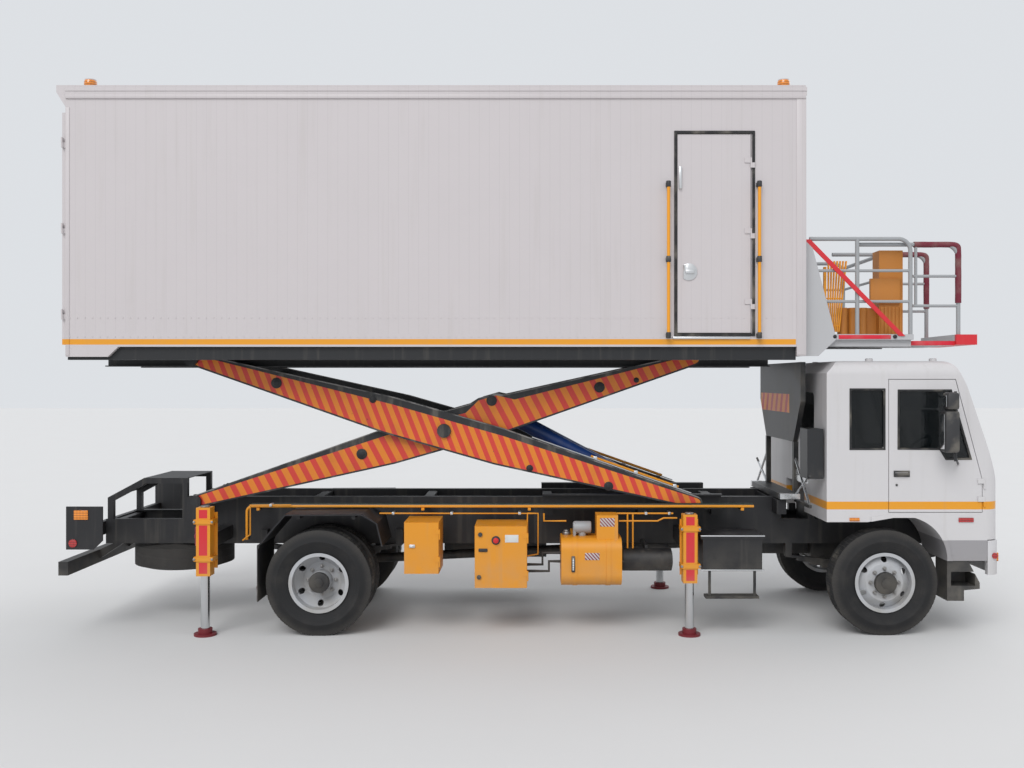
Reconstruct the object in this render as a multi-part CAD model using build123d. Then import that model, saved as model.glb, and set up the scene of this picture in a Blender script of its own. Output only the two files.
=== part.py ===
from build123d import *
import os
from math import atan2, cos, degrees, hypot, radians, sin

# Aircraft cabin loader: a two-axle truck whose van body is raised by a scissor lift
# and carries a boarding platform over the cab.
# All sizes are millimetres. X runs forward from the rear axle, Y to the truck's left
# and Z up from the ground. The finished model is moved so that its origin is the middle
# of its footprint.

# Truck
WHEELBASE = 5650
AXLE_Z = 525
TYRE_R = 525
TYRE_W = 280
RIM_R = 286
HUB_BORE = 48
FRONT_TYRE_Y = 1060
KINGPIN_Y = 870
TWIN_OUTER_Y = 1080
TWIN_PITCH = 325
RAIL_OUT = 425
RAIL_FLANGE = 80
RAIL_BOTTOM = 800
RAIL_TOP = 1060
RAIL_WALL = 8
RAIL_REAR = -2440
FRONT_END = WHEELBASE + 1150
RAIL_FRONT = FRONT_END - 200
REAR_END = -2596

# Cab, whose stations are measured forward from its rear wall
CAB_REAR = WHEELBASE - 590
CAB_LENGTH = FRONT_END - CAB_REAR
CAB_HALF = 1200
CAB_FLOOR = 1136
CAB_ROOF = 2740
CAB_WALL = 45
CAB_CORNER = 170
ROOF_EDGE = 140
ARCH = ((406, CAB_FLOOR), (660, 1180), (870, 1180))
ARCH_BEND = (1108, 1022)
ARCH_FOOT = (1195, 751)
ARCH_LIP = 42
GRILLE_HALF = 760
GRILLE_Z = (1010, 1330)
HEADLAMP_Y = 860
DOOR_SEAM = 613
DOOR_FRONT = CAB_LENGTH - 160
CAB_HINGE_X = DOOR_FRONT - 15
DOOR_SILL = 1230
DOOR_HEAD = 2560
DOOR_GAP = 6
TUNNEL_HALF = 420
SEAT_Y = 660
DOOR_HINGES = (1340, 1520)
HINGE_OUT = 9
TUNNEL_TOP = 1470

# Scissor lift
VAN_BASE = 2860
PIN_LOW = 1270
PIN_UP = VAN_BASE - 90
PIN_REAR = -1420
ROLLER_X = 3840
ARM_DEPTH = 390
ARM_END_R = 65
ARM_FLAT = 600
ARM_W = 80
INNER_ARM_Y = 540
OUTER_ARM_Y = 640
PIN_R = 35
ROLLER_R = 60
ROLLER_GAP = 6
FIT = 0.1
SEAT = 0.3
TUBE_R = 45
TIE_FROM_CENTRE = 2100
LUG_X = 448
LUG_Z = 252
CYL_Y = 250
BARREL_R = 75
ROD_R = 45
ROD_SHOWN = 200
EYE_W = 100
EYE_R = 60
EAR_W = 25
EAR_GAP = 5

# Subframe
SUB_TOP = 1300
SUB_REAR = -1600
SUB_FRONT = WHEELBASE - 850
TRACK_LOW_Y = 545
TRACK_UP_Y = 445
TRACK_WALL = 12

# Van body
VAN_REAR = -2490
VAN_FRONT = 4840
VAN_HALF = 1250
VAN_FLOOR = VAN_BASE + 100
WALL_FOOT = VAN_BASE + 20
VAN_EAVES = VAN_BASE + 2510
VAN_ROOF = VAN_EAVES + 100
REAR_DOOR_TOP = VAN_EAVES - 170
POST_FOOT = VAN_BASE - 70
VAN_WALL = 45
FRONT_WALL = 90
SIDE_DOOR = (VAN_FRONT - 1280, VAN_FRONT - 540)
SIDE_DOOR_Z = (VAN_FLOOR + 50, VAN_EAVES - 380)
LEAF_GAP = 8
REAR_HINGES = (VAN_FLOOR + 240, VAN_FLOOR + 1090, VAN_EAVES - 470)
LOCK_BARS = (300, 850)
SIDE_HINGES = (VAN_FLOOR + 340, VAN_FLOOR + 1040, VAN_EAVES - 670)

# Boarding platform
DECK_TOP = VAN_FLOOR + 50
DECK_BOTTOM = DECK_TOP - 55
DECK_FRONT = VAN_FRONT + 1120
DECK_HALF = 1110
RAIL_R = 21
HANDRAIL_TOP = DECK_TOP + 960
GUIDE_Y = (1000, 1060)
GUIDE_DEPTH = 45
PAD_GAP = 0.5
EXT_Y = (-1040, -200)
EXT_REAR = DECK_FRONT - 620
EXT_FRONT = DECK_FRONT + 440
EXT_TOP = DECK_BOTTOM - 10
EXT_BOTTOM = EXT_TOP - 45
NOSE_FRONT = EXT_FRONT + 210
NOSE_TOP = DECK_TOP - 1
PLATE_FOOT = DECK_TOP - 220
MID_RAILS = (DECK_TOP + 330, DECK_TOP + 640)

# Stabilisers: station, bottom and top of each housing
STABILISER_Y = 1150
HOUSING_HALF = 70
STABILISERS = {"rear": (-1140, 600, 1280), "front": (3700, 530, 1210)}
FOOT_R = 110
LEG_TRAVEL = 450

MIDDLE_X = (REAR_END + FRONT_END) / 2
CENTRE_X = (PIN_REAR + ROLLER_X) / 2
CENTRE_Z = (PIN_LOW + PIN_UP) / 2
ARM_HALF = hypot(ROLLER_X - PIN_REAR, PIN_UP - PIN_LOW) / 2
ARM_ANGLE = atan2(PIN_UP - PIN_LOW, ROLLER_X - PIN_REAR)


def box(x, y, z):
    """Block between the two values given for each axis."""
    size = Box(x[1] - x[0], y[1] - y[0], z[1] - z[0])
    return Pos((x[0] + x[1]) / 2, (y[0] + y[1]) / 2, (z[0] + z[1]) / 2) * size


def outline(*points):
    """Flat face through points."""
    return make_face(Polyline(*points, close=True))


def rect(x, y):
    """Flat rectangle between two values on each side."""
    return Pos((x[0] + x[1]) / 2, (y[0] + y[1]) / 2) * Rectangle(x[1] - x[0], y[1] - y[0])


def along_x(face, x):
    """Face drawn in Y and Z, made solid from one X to another."""
    return extrude(Plane.YZ.offset(x[0]) * face, amount=x[1] - x[0])


def along_y(face, y):
    """Face drawn in X and Z, made solid from one Y to another."""
    return extrude(Plane.XZ.offset(-y[1]) * face, amount=y[1] - y[0])


def along_z(face, z):
    """Face drawn in X and Y, made solid from one Z to another."""
    return extrude(Plane.XY.offset(z[0]) * face, amount=z[1] - z[0])


def bar(radius, start, end):
    """Round bar from one point to another."""
    way = Vector(*end) - Vector(*start)
    return extrude(Plane(origin=start, z_dir=way) * Circle(radius), amount=way.length)


def pipe(radius, points, bend):
    """Round bar along straight runs joined by bends."""
    path = FilletPolyline(*points, radius=bend)
    return sweep(Plane(origin=path @ 0, z_dir=path % 0) * Circle(radius), path=path)


def both(part):
    """A piece and its twin on the other side of the truck."""
    return [part, mirror(part, about=Plane.XZ)]


def joined(*parts):
    """Pieces fused where they meet."""
    flat = []
    for part in parts:
        for piece in part if isinstance(part, list) else [part]:
            flat += piece.solids()
    return Part() + flat


def side(part, left):
    """The piece as drawn on the left, or its twin on the right."""
    return part if left else mirror(part, about=Plane.XZ)


def hinge_half(axis, web, height, leaf):
    """One half of a door hinge: a lug about the hinge line and its web, the leaf's half on top."""
    low = height + SEAT if leaf else height - 50
    z = (low, low + 50)
    knuckle_barrel = bar(8, (axis[0], axis[1], z[0]), (axis[0], axis[1], z[1]))
    return knuckle_barrel + box(web[0], web[1], z)


def channel(web, tip, bottom, top, wall):
    """Section of a channel with its web at one Y and its flanges reaching to another."""
    inner = web + (wall if tip > web else -wall)
    return outline((web, bottom), (tip, bottom), (tip, bottom + wall), (inner, bottom + wall),
                   (inner, top - wall), (tip, top - wall), (tip, top), (web, top))


def turned(face_points, y):
    """Solid of revolution about the wheel axis: points are radius and distance along Y."""
    face = outline(*[(radius, 0, along) for radius, along in face_points])
    spun = revolve(face, axis=Axis.Z)
    return Pos(0, y, AXLE_Z) * Rot(-90, 0, 0) * spun


# Chassis

def chassis_frame():
    rail = along_x(channel(RAIL_OUT, RAIL_OUT - RAIL_FLANGE, RAIL_BOTTOM, RAIL_TOP, RAIL_WALL),
                   (RAIL_REAR, RAIL_FRONT))
    web = RAIL_OUT - RAIL_WALL
    parts = both(rail)
    for station in (-2380, -1250, -500, 900, 2400, WHEELBASE - 1400, RAIL_FRONT - 100):
        parts.append(box((station - 40, station + 40), (-web, web), (930, 1030)))
    for station in (CAB_REAR + 60, WHEELBASE + 300):
        low_cab = box((station - 40, station + 40), (RAIL_OUT - RAIL_FLANGE, RAIL_OUT), (RAIL_TOP, CAB_FLOOR))
        parts += both(low_cab)
    for station, low, high in STABILISERS.values():
        reach = box((station - 60, station + 60), (RAIL_OUT, STABILISER_Y - HOUSING_HALF - 12),
                    (860, 1000))
        parts += both(reach)
    return joined(*parts)


def leaf_spring(station, seat, y, half_length, leaves, thick):
    """Stack of cambered leaves, longest at the top, with hangers to the rail."""
    stack = []
    rise = 60
    radius = (half_length ** 2 + rise ** 2) / (2 * rise)
    for leaf in range(leaves):
        reach = half_length * (1 - 0.16 * (leaves - 1 - leaf))
        swing = reach / radius
        low = seat + leaf * thick
        centre = low + radius
        ends = [(station + sign * r * sin(swing), centre - r * cos(swing))
                for sign in (-1, 1) for r in (radius, radius - thick)]
        under = ThreePointArc(ends[0], (station, low), ends[2])
        over = ThreePointArc(ends[3], (station, low + thick), ends[1])
        face = make_face([under, Line(ends[2], ends[3]), over, Line(ends[1], ends[0])])
        stack.append(along_y(face, y))
    return stack


def front_axle():
    beam = outline((0, 420), (400, 420), (600, 480), (810, 480), (810, 570), (570, 570),
                   (400, 520), (0, 520))
    half = along_x(beam, (WHEELBASE - 45, WHEELBASE + 45))
    parts = both(half)
    y = (RAIL_OUT - RAIL_FLANGE, RAIL_OUT)
    for leaf in leaf_spring(WHEELBASE, 520, y, 800, 4, 25):
        parts += both(leaf)
    for end in (-770, 770):
        hanger = box((WHEELBASE + end - 35, WHEELBASE + end + 35), y, (660, RAIL_BOTTOM))
        parts += both(hanger)
    return joined(*parts)


def rear_axle():
    tube = bar(75, (0, -600, AXLE_Z), (0, 600, AXLE_Z))
    bowl = turned([(0.01, -150), (110, -150), (190, -60), (190, 60), (110, 150), (0.01, 150)], 0)
    nose = bar(70, (0, 0, AXLE_Z + 20), (300, 0, AXLE_Z + 40))
    parts = [tube, bowl, nose]
    parts += both(bar(HUB_BORE - FIT, (0, 600, AXLE_Z), (0, 1132, AXLE_Z)))
    parts += both(bar(190, (0, 585, AXLE_Z), (0, 600, AXLE_Z)))
    y = (RAIL_OUT + 10, RAIL_OUT + 90)
    parts += both(box((-90, 90), y, (AXLE_Z + 40, 640)))
    for leaf in leaf_spring(0, 640, y, 750, 5, 24):
        parts += both(leaf)
    for end in (-720, 720):
        hanger = box((end - 35, end + 35), (RAIL_OUT, RAIL_OUT + 90), (800, 960))
        parts += both(hanger)
    return joined(*parts)


def engine_gearbox():
    back = WHEELBASE - 500
    engine = box((back, back + 1100), (-300, 300), (620, 1400))
    gearbox = box((back - 750, back), (-180, 180), (650, 900))
    shaft = bar(50, (301, 0, AXLE_Z + 40), (back - 750, 0, 760))
    mounts = both(box((back + 150, back + 250), (300, RAIL_OUT - RAIL_WALL), (830, 900)))
    return joined(engine, gearbox, shaft, mounts)


# Wheels

def tyre_at(y):
    """Tyre with rounded shoulders and a bead on each side."""
    half = TYRE_W / 2
    bead = RIM_R + 5.3
    points = [(bead, -half + 50), (TYRE_R - 110, -half), (TYRE_R, -half + 36),
              (TYRE_R, half - 36), (TYRE_R - 110, half), (bead, half - 50)]
    return turned(points, y)


def rim_at(y, out, dish, edge=0):
    """Rim with its disc set towards out, which is 1 or -1 along Y. The disc is flat round the
    hub at dish and slopes to edge where it meets the rim."""
    half = TYRE_W / 2 - 28
    ring = turned([(RIM_R - 20, -half), (RIM_R + 14, -half), (RIM_R + 5, -half + 16),
                   (RIM_R + 5, half - 16), (RIM_R + 14, half), (RIM_R - 20, half)], y)
    flat = dish * out
    rise = edge * out
    disc = turned([(60, flat - 8), (185, flat - 8), (RIM_R - 10, rise - 8),
                   (RIM_R - 10, rise + 8), (185, flat + 8), (60, flat + 8)], y)
    holes = [Pos(228 * cos(a), y + (flat + rise) / 2, AXLE_Z + 228 * sin(a)) * Rot(90, 0, 0)
             * Cylinder(30, 120) for a in [radians(28 + 60 * n) for n in range(6)]]
    return [ring, disc - holes]


def wheel_hub(y_in, y_out, radius):
    low = min(y_in, y_out)
    high = max(y_in, y_out)
    middle = (low + high) / 2
    half = (high - low) / 2
    return turned([(HUB_BORE, -half), (radius, -half), (radius, half), (HUB_BORE, half)], middle)


def front_tyre(left):
    return Pos(WHEELBASE, 0, 0) * side(tyre_at(FRONT_TYRE_Y), left)


def front_rim(left):
    parts = rim_at(FRONT_TYRE_Y, 1, 84, 10)
    parts.append(wheel_hub(FRONT_TYRE_Y - 60, FRONT_TYRE_Y + 100, 110))
    cap = turned([(0.01, 100), (110, 100), (90, 130), (0.01, 130)], FRONT_TYRE_Y)
    parts.append(cap)
    return Pos(WHEELBASE, 0, 0) * side(joined(*parts), left)


def rear_tyres(left):
    pair = [tyre_at(TWIN_OUTER_Y), tyre_at(TWIN_OUTER_Y - TWIN_PITCH)]
    return side(joined(*pair), left)


def rear_rims(left):
    parts = rim_at(TWIN_OUTER_Y, -1, 85)
    parts += rim_at(TWIN_OUTER_Y - TWIN_PITCH, 1, 85)
    parts.append(wheel_hub(TWIN_OUTER_Y - TWIN_PITCH - 100, TWIN_OUTER_Y + 60, 105))
    cap = turned([(0.01, 60), (105, 60), (85, 80), (0.01, 80)], TWIN_OUTER_Y)
    parts.append(cap)
    return side(joined(*parts), left)


def knuckle(left):
    """Fork round the end of the axle beam, its kingpin and its stub axle."""
    x = (WHEELBASE - 45, WHEELBASE + 45)
    fork = [box(x, (KINGPIN_Y - 50, KINGPIN_Y + 70), (590, 640)),
            box(x, (KINGPIN_Y - 50, KINGPIN_Y + 70), (410, 460)),
            box(x, (KINGPIN_Y + 62, KINGPIN_Y + 100), (410, 640))]
    pin = bar(25, (WHEELBASE, KINGPIN_Y, 410), (WHEELBASE, KINGPIN_Y, 640))
    stub = bar(HUB_BORE - FIT, (WHEELBASE, KINGPIN_Y + 90, AXLE_Z), (WHEELBASE, FRONT_TYRE_Y + 90, AXLE_Z))
    arm = box((WHEELBASE - 220, WHEELBASE - 40), (KINGPIN_Y - 40, KINGPIN_Y), (420, 450))
    return side(joined(pin, fork, stub, arm), left)


def kingpin_boss():
    """End of the axle beam that the kingpin turns in."""
    boss = bar(50, (WHEELBASE, KINGPIN_Y, 466), (WHEELBASE, KINGPIN_Y, 584))
    boss += box((WHEELBASE - 40, WHEELBASE + 40), (800, KINGPIN_Y), (485, 565))
    return boss - bar(25 + FIT, (WHEELBASE, KINGPIN_Y, 400), (WHEELBASE, KINGPIN_Y, 650))


def rear_mudguards():
    outer = [(-590, 910), (-330, 1215), (440, 1220), (590, 1130), (647, 900)]
    inner = [(632, 900), (578, 1122), (434, 1206), (-322, 1201), (-578, 905)]
    cover = along_y(outline(*outer, *inner), (600, 1240))
    flap = box((-600, -590), (600, 1240), (350, 900))
    parts = both(joined(cover, flap, box((-600, -578), (600, 1240), (880, 912))))
    for station in (-200, 350):
        parts += both(bar(20, (station, RAIL_OUT, 1182), (station, 1200, 1182)))
    return joined(*parts)


# Cab

def cab_side_profile(inset):
    """Side view of the cab with its wheel arch, drawn smaller all round by inset."""
    sill = Polyline((0, CAB_FLOOR), *ARCH)
    arch = ThreePointArc(ARCH[-1], ARCH_BEND, ARCH_FOOT)
    nose = Polyline(ARCH_FOOT, (1600, 751), (1600, 960), (CAB_LENGTH, 960), (CAB_LENGTH, 1480),
                    (1395, 2500), (1270, CAB_ROOF), (120, CAB_ROOF), (0, 2620),
                    (0, CAB_FLOOR))
    face = make_face(sill.edges() + [arch] + nose.edges())
    for corner, radius in (((1270, CAB_ROOF), 150), ((1395, 2500), 500), ((CAB_LENGTH, 1480), 200),
                           ((120, CAB_ROOF), 90)):
        face = fillet(face.vertices().sort_by_distance(corner)[0], radius)
    return offset(face, amount=-inset, kind=Kind.INTERSECTION) if inset else face


def cab_plan(inset):
    """Plan of the cab with rounded front corners."""
    x = (inset, CAB_LENGTH - inset)
    half = CAB_HALF - inset
    front = CAB_CORNER - inset
    face = rect(x, (-half, half))
    return fillet(face.vertices().sort_by(Axis.X)[-2:], front)


def cab_front_view(inset):
    """Front view of the cab with rounded roof edges."""
    face = rect((inset - CAB_HALF, CAB_HALF - inset), (500, CAB_ROOF - inset))
    return fillet(face.vertices().sort_by(Axis.Y)[-2:], ROOF_EDGE - inset)


def cab_hull(inset):
    side_view = along_y(cab_side_profile(inset), (-CAB_HALF - 10, CAB_HALF + 10))
    hull = side_view & along_z(cab_plan(inset), (600, 3000))
    return hull & along_x(cab_front_view(inset), (-50, CAB_LENGTH + 50))


def door_outline(gap):
    """Door opening in X and Z, smaller all round by gap."""
    return outline((DOOR_SEAM + gap, DOOR_SILL + gap), (DOOR_FRONT - 30 - gap, DOOR_SILL + gap),
                   (DOOR_FRONT - 30 - gap, 1560), (1285 - gap, DOOR_HEAD - gap),
                   (DOOR_SEAM + gap, DOOR_HEAD - gap))


def door_window():
    face = outline((710, 1860), (1120, 1860), (1180, 1760), (1440, 1760), (1240, 2450),
                   (710, 2450))
    return fillet(face.vertices(), 25)


def rear_side_window():
    return fillet(rect((230, 580), (1860, 2460)).vertices(), 60)


def windscreen():
    """Opening in the raked front face, as seen from the front."""
    return fillet(rect((-1030, 1030), (1590, 2440)).vertices(), 70)


def cab_shell():
    shell = cab_hull(0) - cab_hull(CAB_WALL)
    shell -= box((-60, 1610), (-560, 560), (600, CAB_FLOOR))
    shell += box((0, 1390), (-TUNNEL_HALF, TUNNEL_HALF), (CAB_FLOOR, TUNNEL_TOP))
    shell -= box((-10, 1350), (-TUNNEL_HALF + 40, TUNNEL_HALF - 40),
                 (CAB_FLOOR - 10, TUNNEL_TOP - 40))
    walls = (CAB_HALF - CAB_WALL - 5, CAB_HALF + 20)
    for cut in both(along_y(door_outline(0), walls)) + both(along_y(rear_side_window(), walls)):
        shell -= cut
    shell -= along_x(windscreen(), (1320, CAB_LENGTH + 20))
    for middle in (-450, 450):
        pane = fillet(rect((middle - 300, middle + 300), (2000, 2420)).vertices(), 60)
        shell -= along_x(pane, (-10, CAB_WALL + 10))
    for height in DOOR_HINGES:
        web = ((CAB_HINGE_X, CAB_HINGE_X + 14), (CAB_HALF - 5, CAB_HALF + 14))
        shell += joined(*both(hinge_half((CAB_HINGE_X, CAB_HALF + HINGE_OUT), web, height, False)))
    lip = (cab_side_profile(0) - cab_side_profile(ARCH_LIP)) & rect((440, 1250), (740, 1240))
    shell += joined(*both(along_y(lip, (CAB_HALF - 30, CAB_HALF + 12))))
    shell -= box((CAB_LENGTH - 18, CAB_LENGTH + 5), (-GRILLE_HALF, GRILLE_HALF), GRILLE_Z)
    for height in range(GRILLE_Z[0] + 38, GRILLE_Z[1] - 20, 62):
        shell += box((CAB_LENGTH - 18, CAB_LENGTH - 3), (-GRILLE_HALF, GRILLE_HALF), (height, height + 18))
    for station in (500, 1150):
        for y in (-960, 960):
            shell += bar(38, (station, y, CAB_ROOF - 4), (station, y, CAB_ROOF + 26))
    return shell


def cab_skin(thick, depth):
    """Thin layer of the cab's shape, depth inside its outer face."""
    return cab_hull(depth) - cab_hull(depth + thick)


def cab_glass():
    skin = cab_skin(6, 18)
    panes = [skin & along_x(windscreen(), (1320, CAB_LENGTH + 20))]
    walls = (CAB_HALF - CAB_WALL, CAB_HALF)
    panes += [skin & cut for cut in both(along_y(rear_side_window(), walls))]
    for middle in (-450, 450):
        pane = fillet(rect((middle - 300, middle + 300), (2000, 2420)).vertices(), 60)
        panes.append(skin & along_x(pane, (0, CAB_WALL)))
    return joined(*panes)


def cab_interior():
    parts = []
    for y in (-SEAT_Y, SEAT_Y):
        parts.append(box((360, 840), (y - 230, y + 230), (1300, 1640)))
        parts.append(box((280, 380), (y - 230, y + 230), (1300, 2260)))
        parts.append(box((240, 400), (y - 150, y + 150), (CAB_FLOOR + CAB_WALL, 1300)))
    dash = outline((1240, 1560), (1370, TUNNEL_TOP), (1580, TUNNEL_TOP), (1580, 1640), (1340, 1700))
    parts.append(along_y(dash, (-1080, 1080)))
    parts.append(bar(25, (1340, -SEAT_Y, 1600), (1090, -SEAT_Y, 1800)))
    hand_ring = Cylinder(220, 26) - Cylinder(192, 40) + Cylinder(50, 24) + Box(30, 400, 16)
    parts.append(Pos(1090, -SEAT_Y, 1800) * Rot(0, -51, 0) * hand_ring)
    return joined(*parts)


def cab_door(left):
    y = (CAB_HALF - CAB_WALL + 1, CAB_HALF)
    leaf = along_y(door_outline(DOOR_GAP), y) - along_y(door_window(), (y[0] - 5, y[1] + 5))
    handle = box((680, 800), (CAB_HALF, CAB_HALF + 22), (1600, 1630))
    arms = [bar(11, (1320, CAB_HALF - 20, 1700), (1180, 1440, 1800)),
            bar(11, (1308, CAB_HALF - 20, 2330), (1180, 1440, 2400))]
    post = bar(14, (1180, 1440, 1760), (1180, 1440, 2440))
    glass = box((1135, 1185), (1360, 1500), (1860, 2240))
    small = box((1135, 1185), (1370, 1500), (2270, 2420))
    web = ((DOOR_FRONT - 70, CAB_HINGE_X), (CAB_HALF + 2, CAB_HALF + 14))
    pad = ((DOOR_FRONT - 80, DOOR_FRONT - 50), (CAB_HALF - 10, CAB_HALF + 14))
    hinges = [hinge_half((CAB_HINGE_X, CAB_HALF + HINGE_OUT), web, height, True)
              + box(pad[0], pad[1], (height + SEAT, height + 50)) for height in DOOR_HINGES]
    return side(joined(leaf, handle, arms, post, glass, small, hinges), left)


def front_bumper():
    face = rect((1602, CAB_LENGTH), (-CAB_HALF, CAB_HALF))
    face = fillet(face.vertices().sort_by(Axis.X)[-2:], 130)
    inner = rect((1590, CAB_LENGTH - 60), (-CAB_HALF + 60, CAB_HALF - 60))
    inner = fillet(inner.vertices().sort_by(Axis.X)[-2:], 70)
    shell = along_z(face, (610, 950)) - along_z(inner, (600, 960))
    for y in (-HEADLAMP_Y, HEADLAMP_Y):
        shell -= box((CAB_LENGTH - 16, CAB_LENGTH + 5), (y - 130, y + 130), (690, 870))
        shell += box((CAB_LENGTH - 16, CAB_LENGTH - 5), (y - 116, y + 116), (704, 856))
    parts = [shell]
    step = outline((1202, 751), (1410, 751), (1527, 530), (1527, 470), (1370, 455), (1370, 350),
                   (1202, 350))
    foot_space = box((1240, 1480), (960, CAB_HALF), (500, 640))
    parts += both(along_y(step, (900, CAB_HALF - 10)) - foot_space)
    parts += both(box((1540, CAB_LENGTH - 60), (RAIL_OUT - 60, RAIL_OUT - 10), (780, 940)))
    return joined(*parts)


def headboard():
    panel = outline((-600, 1900), (600, 1900), (900, 2330), (900, 2735), (-900, 2735),
                    (-900, 2330))
    parts = [along_x(panel, (-180, -130))]
    for y in (-600, 600):
        parts.append(box((-180, -130), (y - 30, y + 30), (SUB_TOP + 60, 1900)))
    parts.append(box((-340, -130), (-700, 700), (SUB_TOP, SUB_TOP + 60)))
    parts.append(box((-180, -20), (-1150, -880), (1560, 2060)))
    parts.append(box((-160, -130), (-1000, -640), (1500, 1560)))
    parts.append(box((-160, -130), (-660, -570), (1500, 1620)))
    parts += both(box((-175, -145), (620, 1190), (1272, 1302)))
    for start, end in (((600, 1740), (1175, 1290)), ((600, 1330), (1165, 1590))):
        parts += both(bar(13, (-160, *start), (-160, *end)))
    return joined(*parts)


# Lift

def arm_face(hump):
    """Side view of a scissor arm about its centre, deep in the middle and rounded at its ends."""
    deep = ARM_DEPTH / 2
    body = outline((-ARM_HALF, -ARM_END_R), (-ARM_FLAT, -deep), (ARM_FLAT, -deep),
                   (ARM_HALF, -ARM_END_R), (ARM_HALF, ARM_END_R), (ARM_FLAT, deep),
                   (-ARM_FLAT, deep), (-ARM_HALF, ARM_END_R))
    face = body + Pos(-ARM_HALF, 0) * Circle(ARM_END_R) + Pos(ARM_HALF, 0) * Circle(ARM_END_R)
    if hump:
        face += outline((250, deep - 20), (430, deep + 35), (620, deep + 35), (760, deep - 40))
    return face


def place_arm(part, angle):
    """Turns what is drawn level about the middle pin and sets it in place."""
    return Pos(CENTRE_X, 0, CENTRE_Z) * Rot(0, -degrees(angle), 0) * part


def inner_arms():
    """Arms from the rear pin on the subframe up to the front roller under the van."""
    y = (INNER_ARM_Y, INNER_ARM_Y + ARM_W)
    plate = along_y(arm_face(True), y)
    for s, n, r in ((-908, 0, 45), (2084, -45, 22)):
        plate -= bar(r, (s, y[0] - 5, n), (s, y[1] + 5, n))
    plate += bar(PIN_R, (-ARM_HALF, 500, 0), (-ARM_HALF, 660, 0))
    plate += bar(PIN_R, (ARM_HALF, TRACK_UP_Y + 15, 0), (ARM_HALF, y[0], 0))
    plate += bar(ROLLER_R, (ARM_HALF, TRACK_UP_Y + 20, 0), (ARM_HALF, TRACK_UP_Y + 85, 0))
    plate += bar(70, (0, INNER_ARM_Y - 20, 0), (0, OUTER_ARM_Y + ARM_W + 30, 0))
    parts = both(plate)
    parts.append(bar(TUBE_R, (TIE_FROM_CENTRE, -y[0], 0), (TIE_FROM_CENTRE, y[0], 0)))
    tube = (270, 0, 0)
    parts.append(bar(TUBE_R, (tube[0], -y[0], 0), (tube[0], y[0], 0)))
    swing = hypot(LUG_X, LUG_Z)
    lean = atan2(LUG_Z, LUG_X) - ARM_ANGLE
    lug = (swing * cos(lean), swing * sin(lean))
    ear = make_hull([*(Pos(*lug) * Circle(EYE_R)).edges(), *(Pos(tube[0], 0) * Circle(70)).edges()])
    for inside in (EYE_W / 2 + EAR_GAP,):
        for way in (-1, 1):
            start = CYL_Y + (inside if way > 0 else -inside - EAR_W)
            parts += both(along_y(ear, (start, start + EAR_W)))
    return place_arm(joined(*parts), ARM_ANGLE)


def outer_arms():
    """Arms from the rear pin under the van down to the front roller on the subframe."""
    y = (OUTER_ARM_Y, OUTER_ARM_Y + ARM_W)
    plate = along_y(arm_face(False), y)
    for s, n, r in ((-1816, 0, 45), (966, -115, 20), (1809, -85, 20)):
        plate -= bar(r, (s, y[0] - 5, n), (s, y[1] + 5, n))
    plate -= bar(70 + FIT, (0, y[0] - 5, 0), (0, y[1] + 5, 0))
    plate += bar(PIN_R, (-ARM_HALF, 600, 0), (-ARM_HALF, 760, 0))
    plate += bar(PIN_R, (ARM_HALF, TRACK_LOW_Y + 15, 0), (ARM_HALF, y[0], 0))
    plate += bar(ROLLER_R, (ARM_HALF, TRACK_LOW_Y + 20, 0), (ARM_HALF, TRACK_LOW_Y + 85, 0))
    parts = both(plate)
    for s in (-TIE_FROM_CENTRE, TIE_FROM_CENTRE):
        parts.append(bar(TUBE_R, (s, -y[0], 0), (s, y[0], 0)))
    return place_arm(joined(*parts), -ARM_ANGLE)


def cylinder_line():
    """Pin of the barrel, eye of the rod, distance between them and slope of the line."""
    foot = (CENTRE_X + TIE_FROM_CENTRE * cos(ARM_ANGLE), CENTRE_Z - TIE_FROM_CENTRE * sin(ARM_ANGLE))
    eye = (CENTRE_X + LUG_X, CENTRE_Z + LUG_Z)
    run = hypot(eye[0] - foot[0], eye[1] - foot[1])
    return foot, eye, run, atan2(eye[1] - foot[1], eye[0] - foot[0])


def place_cylinder(part):
    foot, eye, run, slope = cylinder_line()
    return Pos(foot[0], 0, foot[1]) * Rot(0, -degrees(slope), 0) * part


def lift_barrels():
    foot, eye, run, slope = cylinder_line()
    head = run - ROD_SHOWN
    barrel = bar(BARREL_R, (110, CYL_Y, 0), (head, CYL_Y, 0))
    barrel += bar(BARREL_R + 8, (head - 60, CYL_Y, 0), (head, CYL_Y, 0))
    barrel -= bar(ROD_R + FIT, (180, CYL_Y, 0), (head + 10, CYL_Y, 0))
    lug = bar(TUBE_R + 35, (0, CYL_Y - 45, 0), (0, CYL_Y + 45, 0))
    lug += box((0, 120), (CYL_Y - 45, CYL_Y + 45), (-60, 60))
    barrel += lug
    barrel -= bar(TUBE_R + FIT, (0, CYL_Y - 60, 0), (0, CYL_Y + 60, 0))
    return place_cylinder(joined(*both(barrel)))


def lift_rods():
    foot, eye, run, slope = cylinder_line()
    rod = bar(ROD_R, (220, CYL_Y, 0), (run - 40, CYL_Y, 0))
    rod += bar(EYE_R - 5, (run, CYL_Y - EYE_W / 2, 0), (run, CYL_Y + EYE_W / 2, 0))
    rod -= bar(30, (run, CYL_Y - EYE_W, 0), (run, CYL_Y + EYE_W, 0))
    return place_cylinder(joined(*both(rod)))


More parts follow.
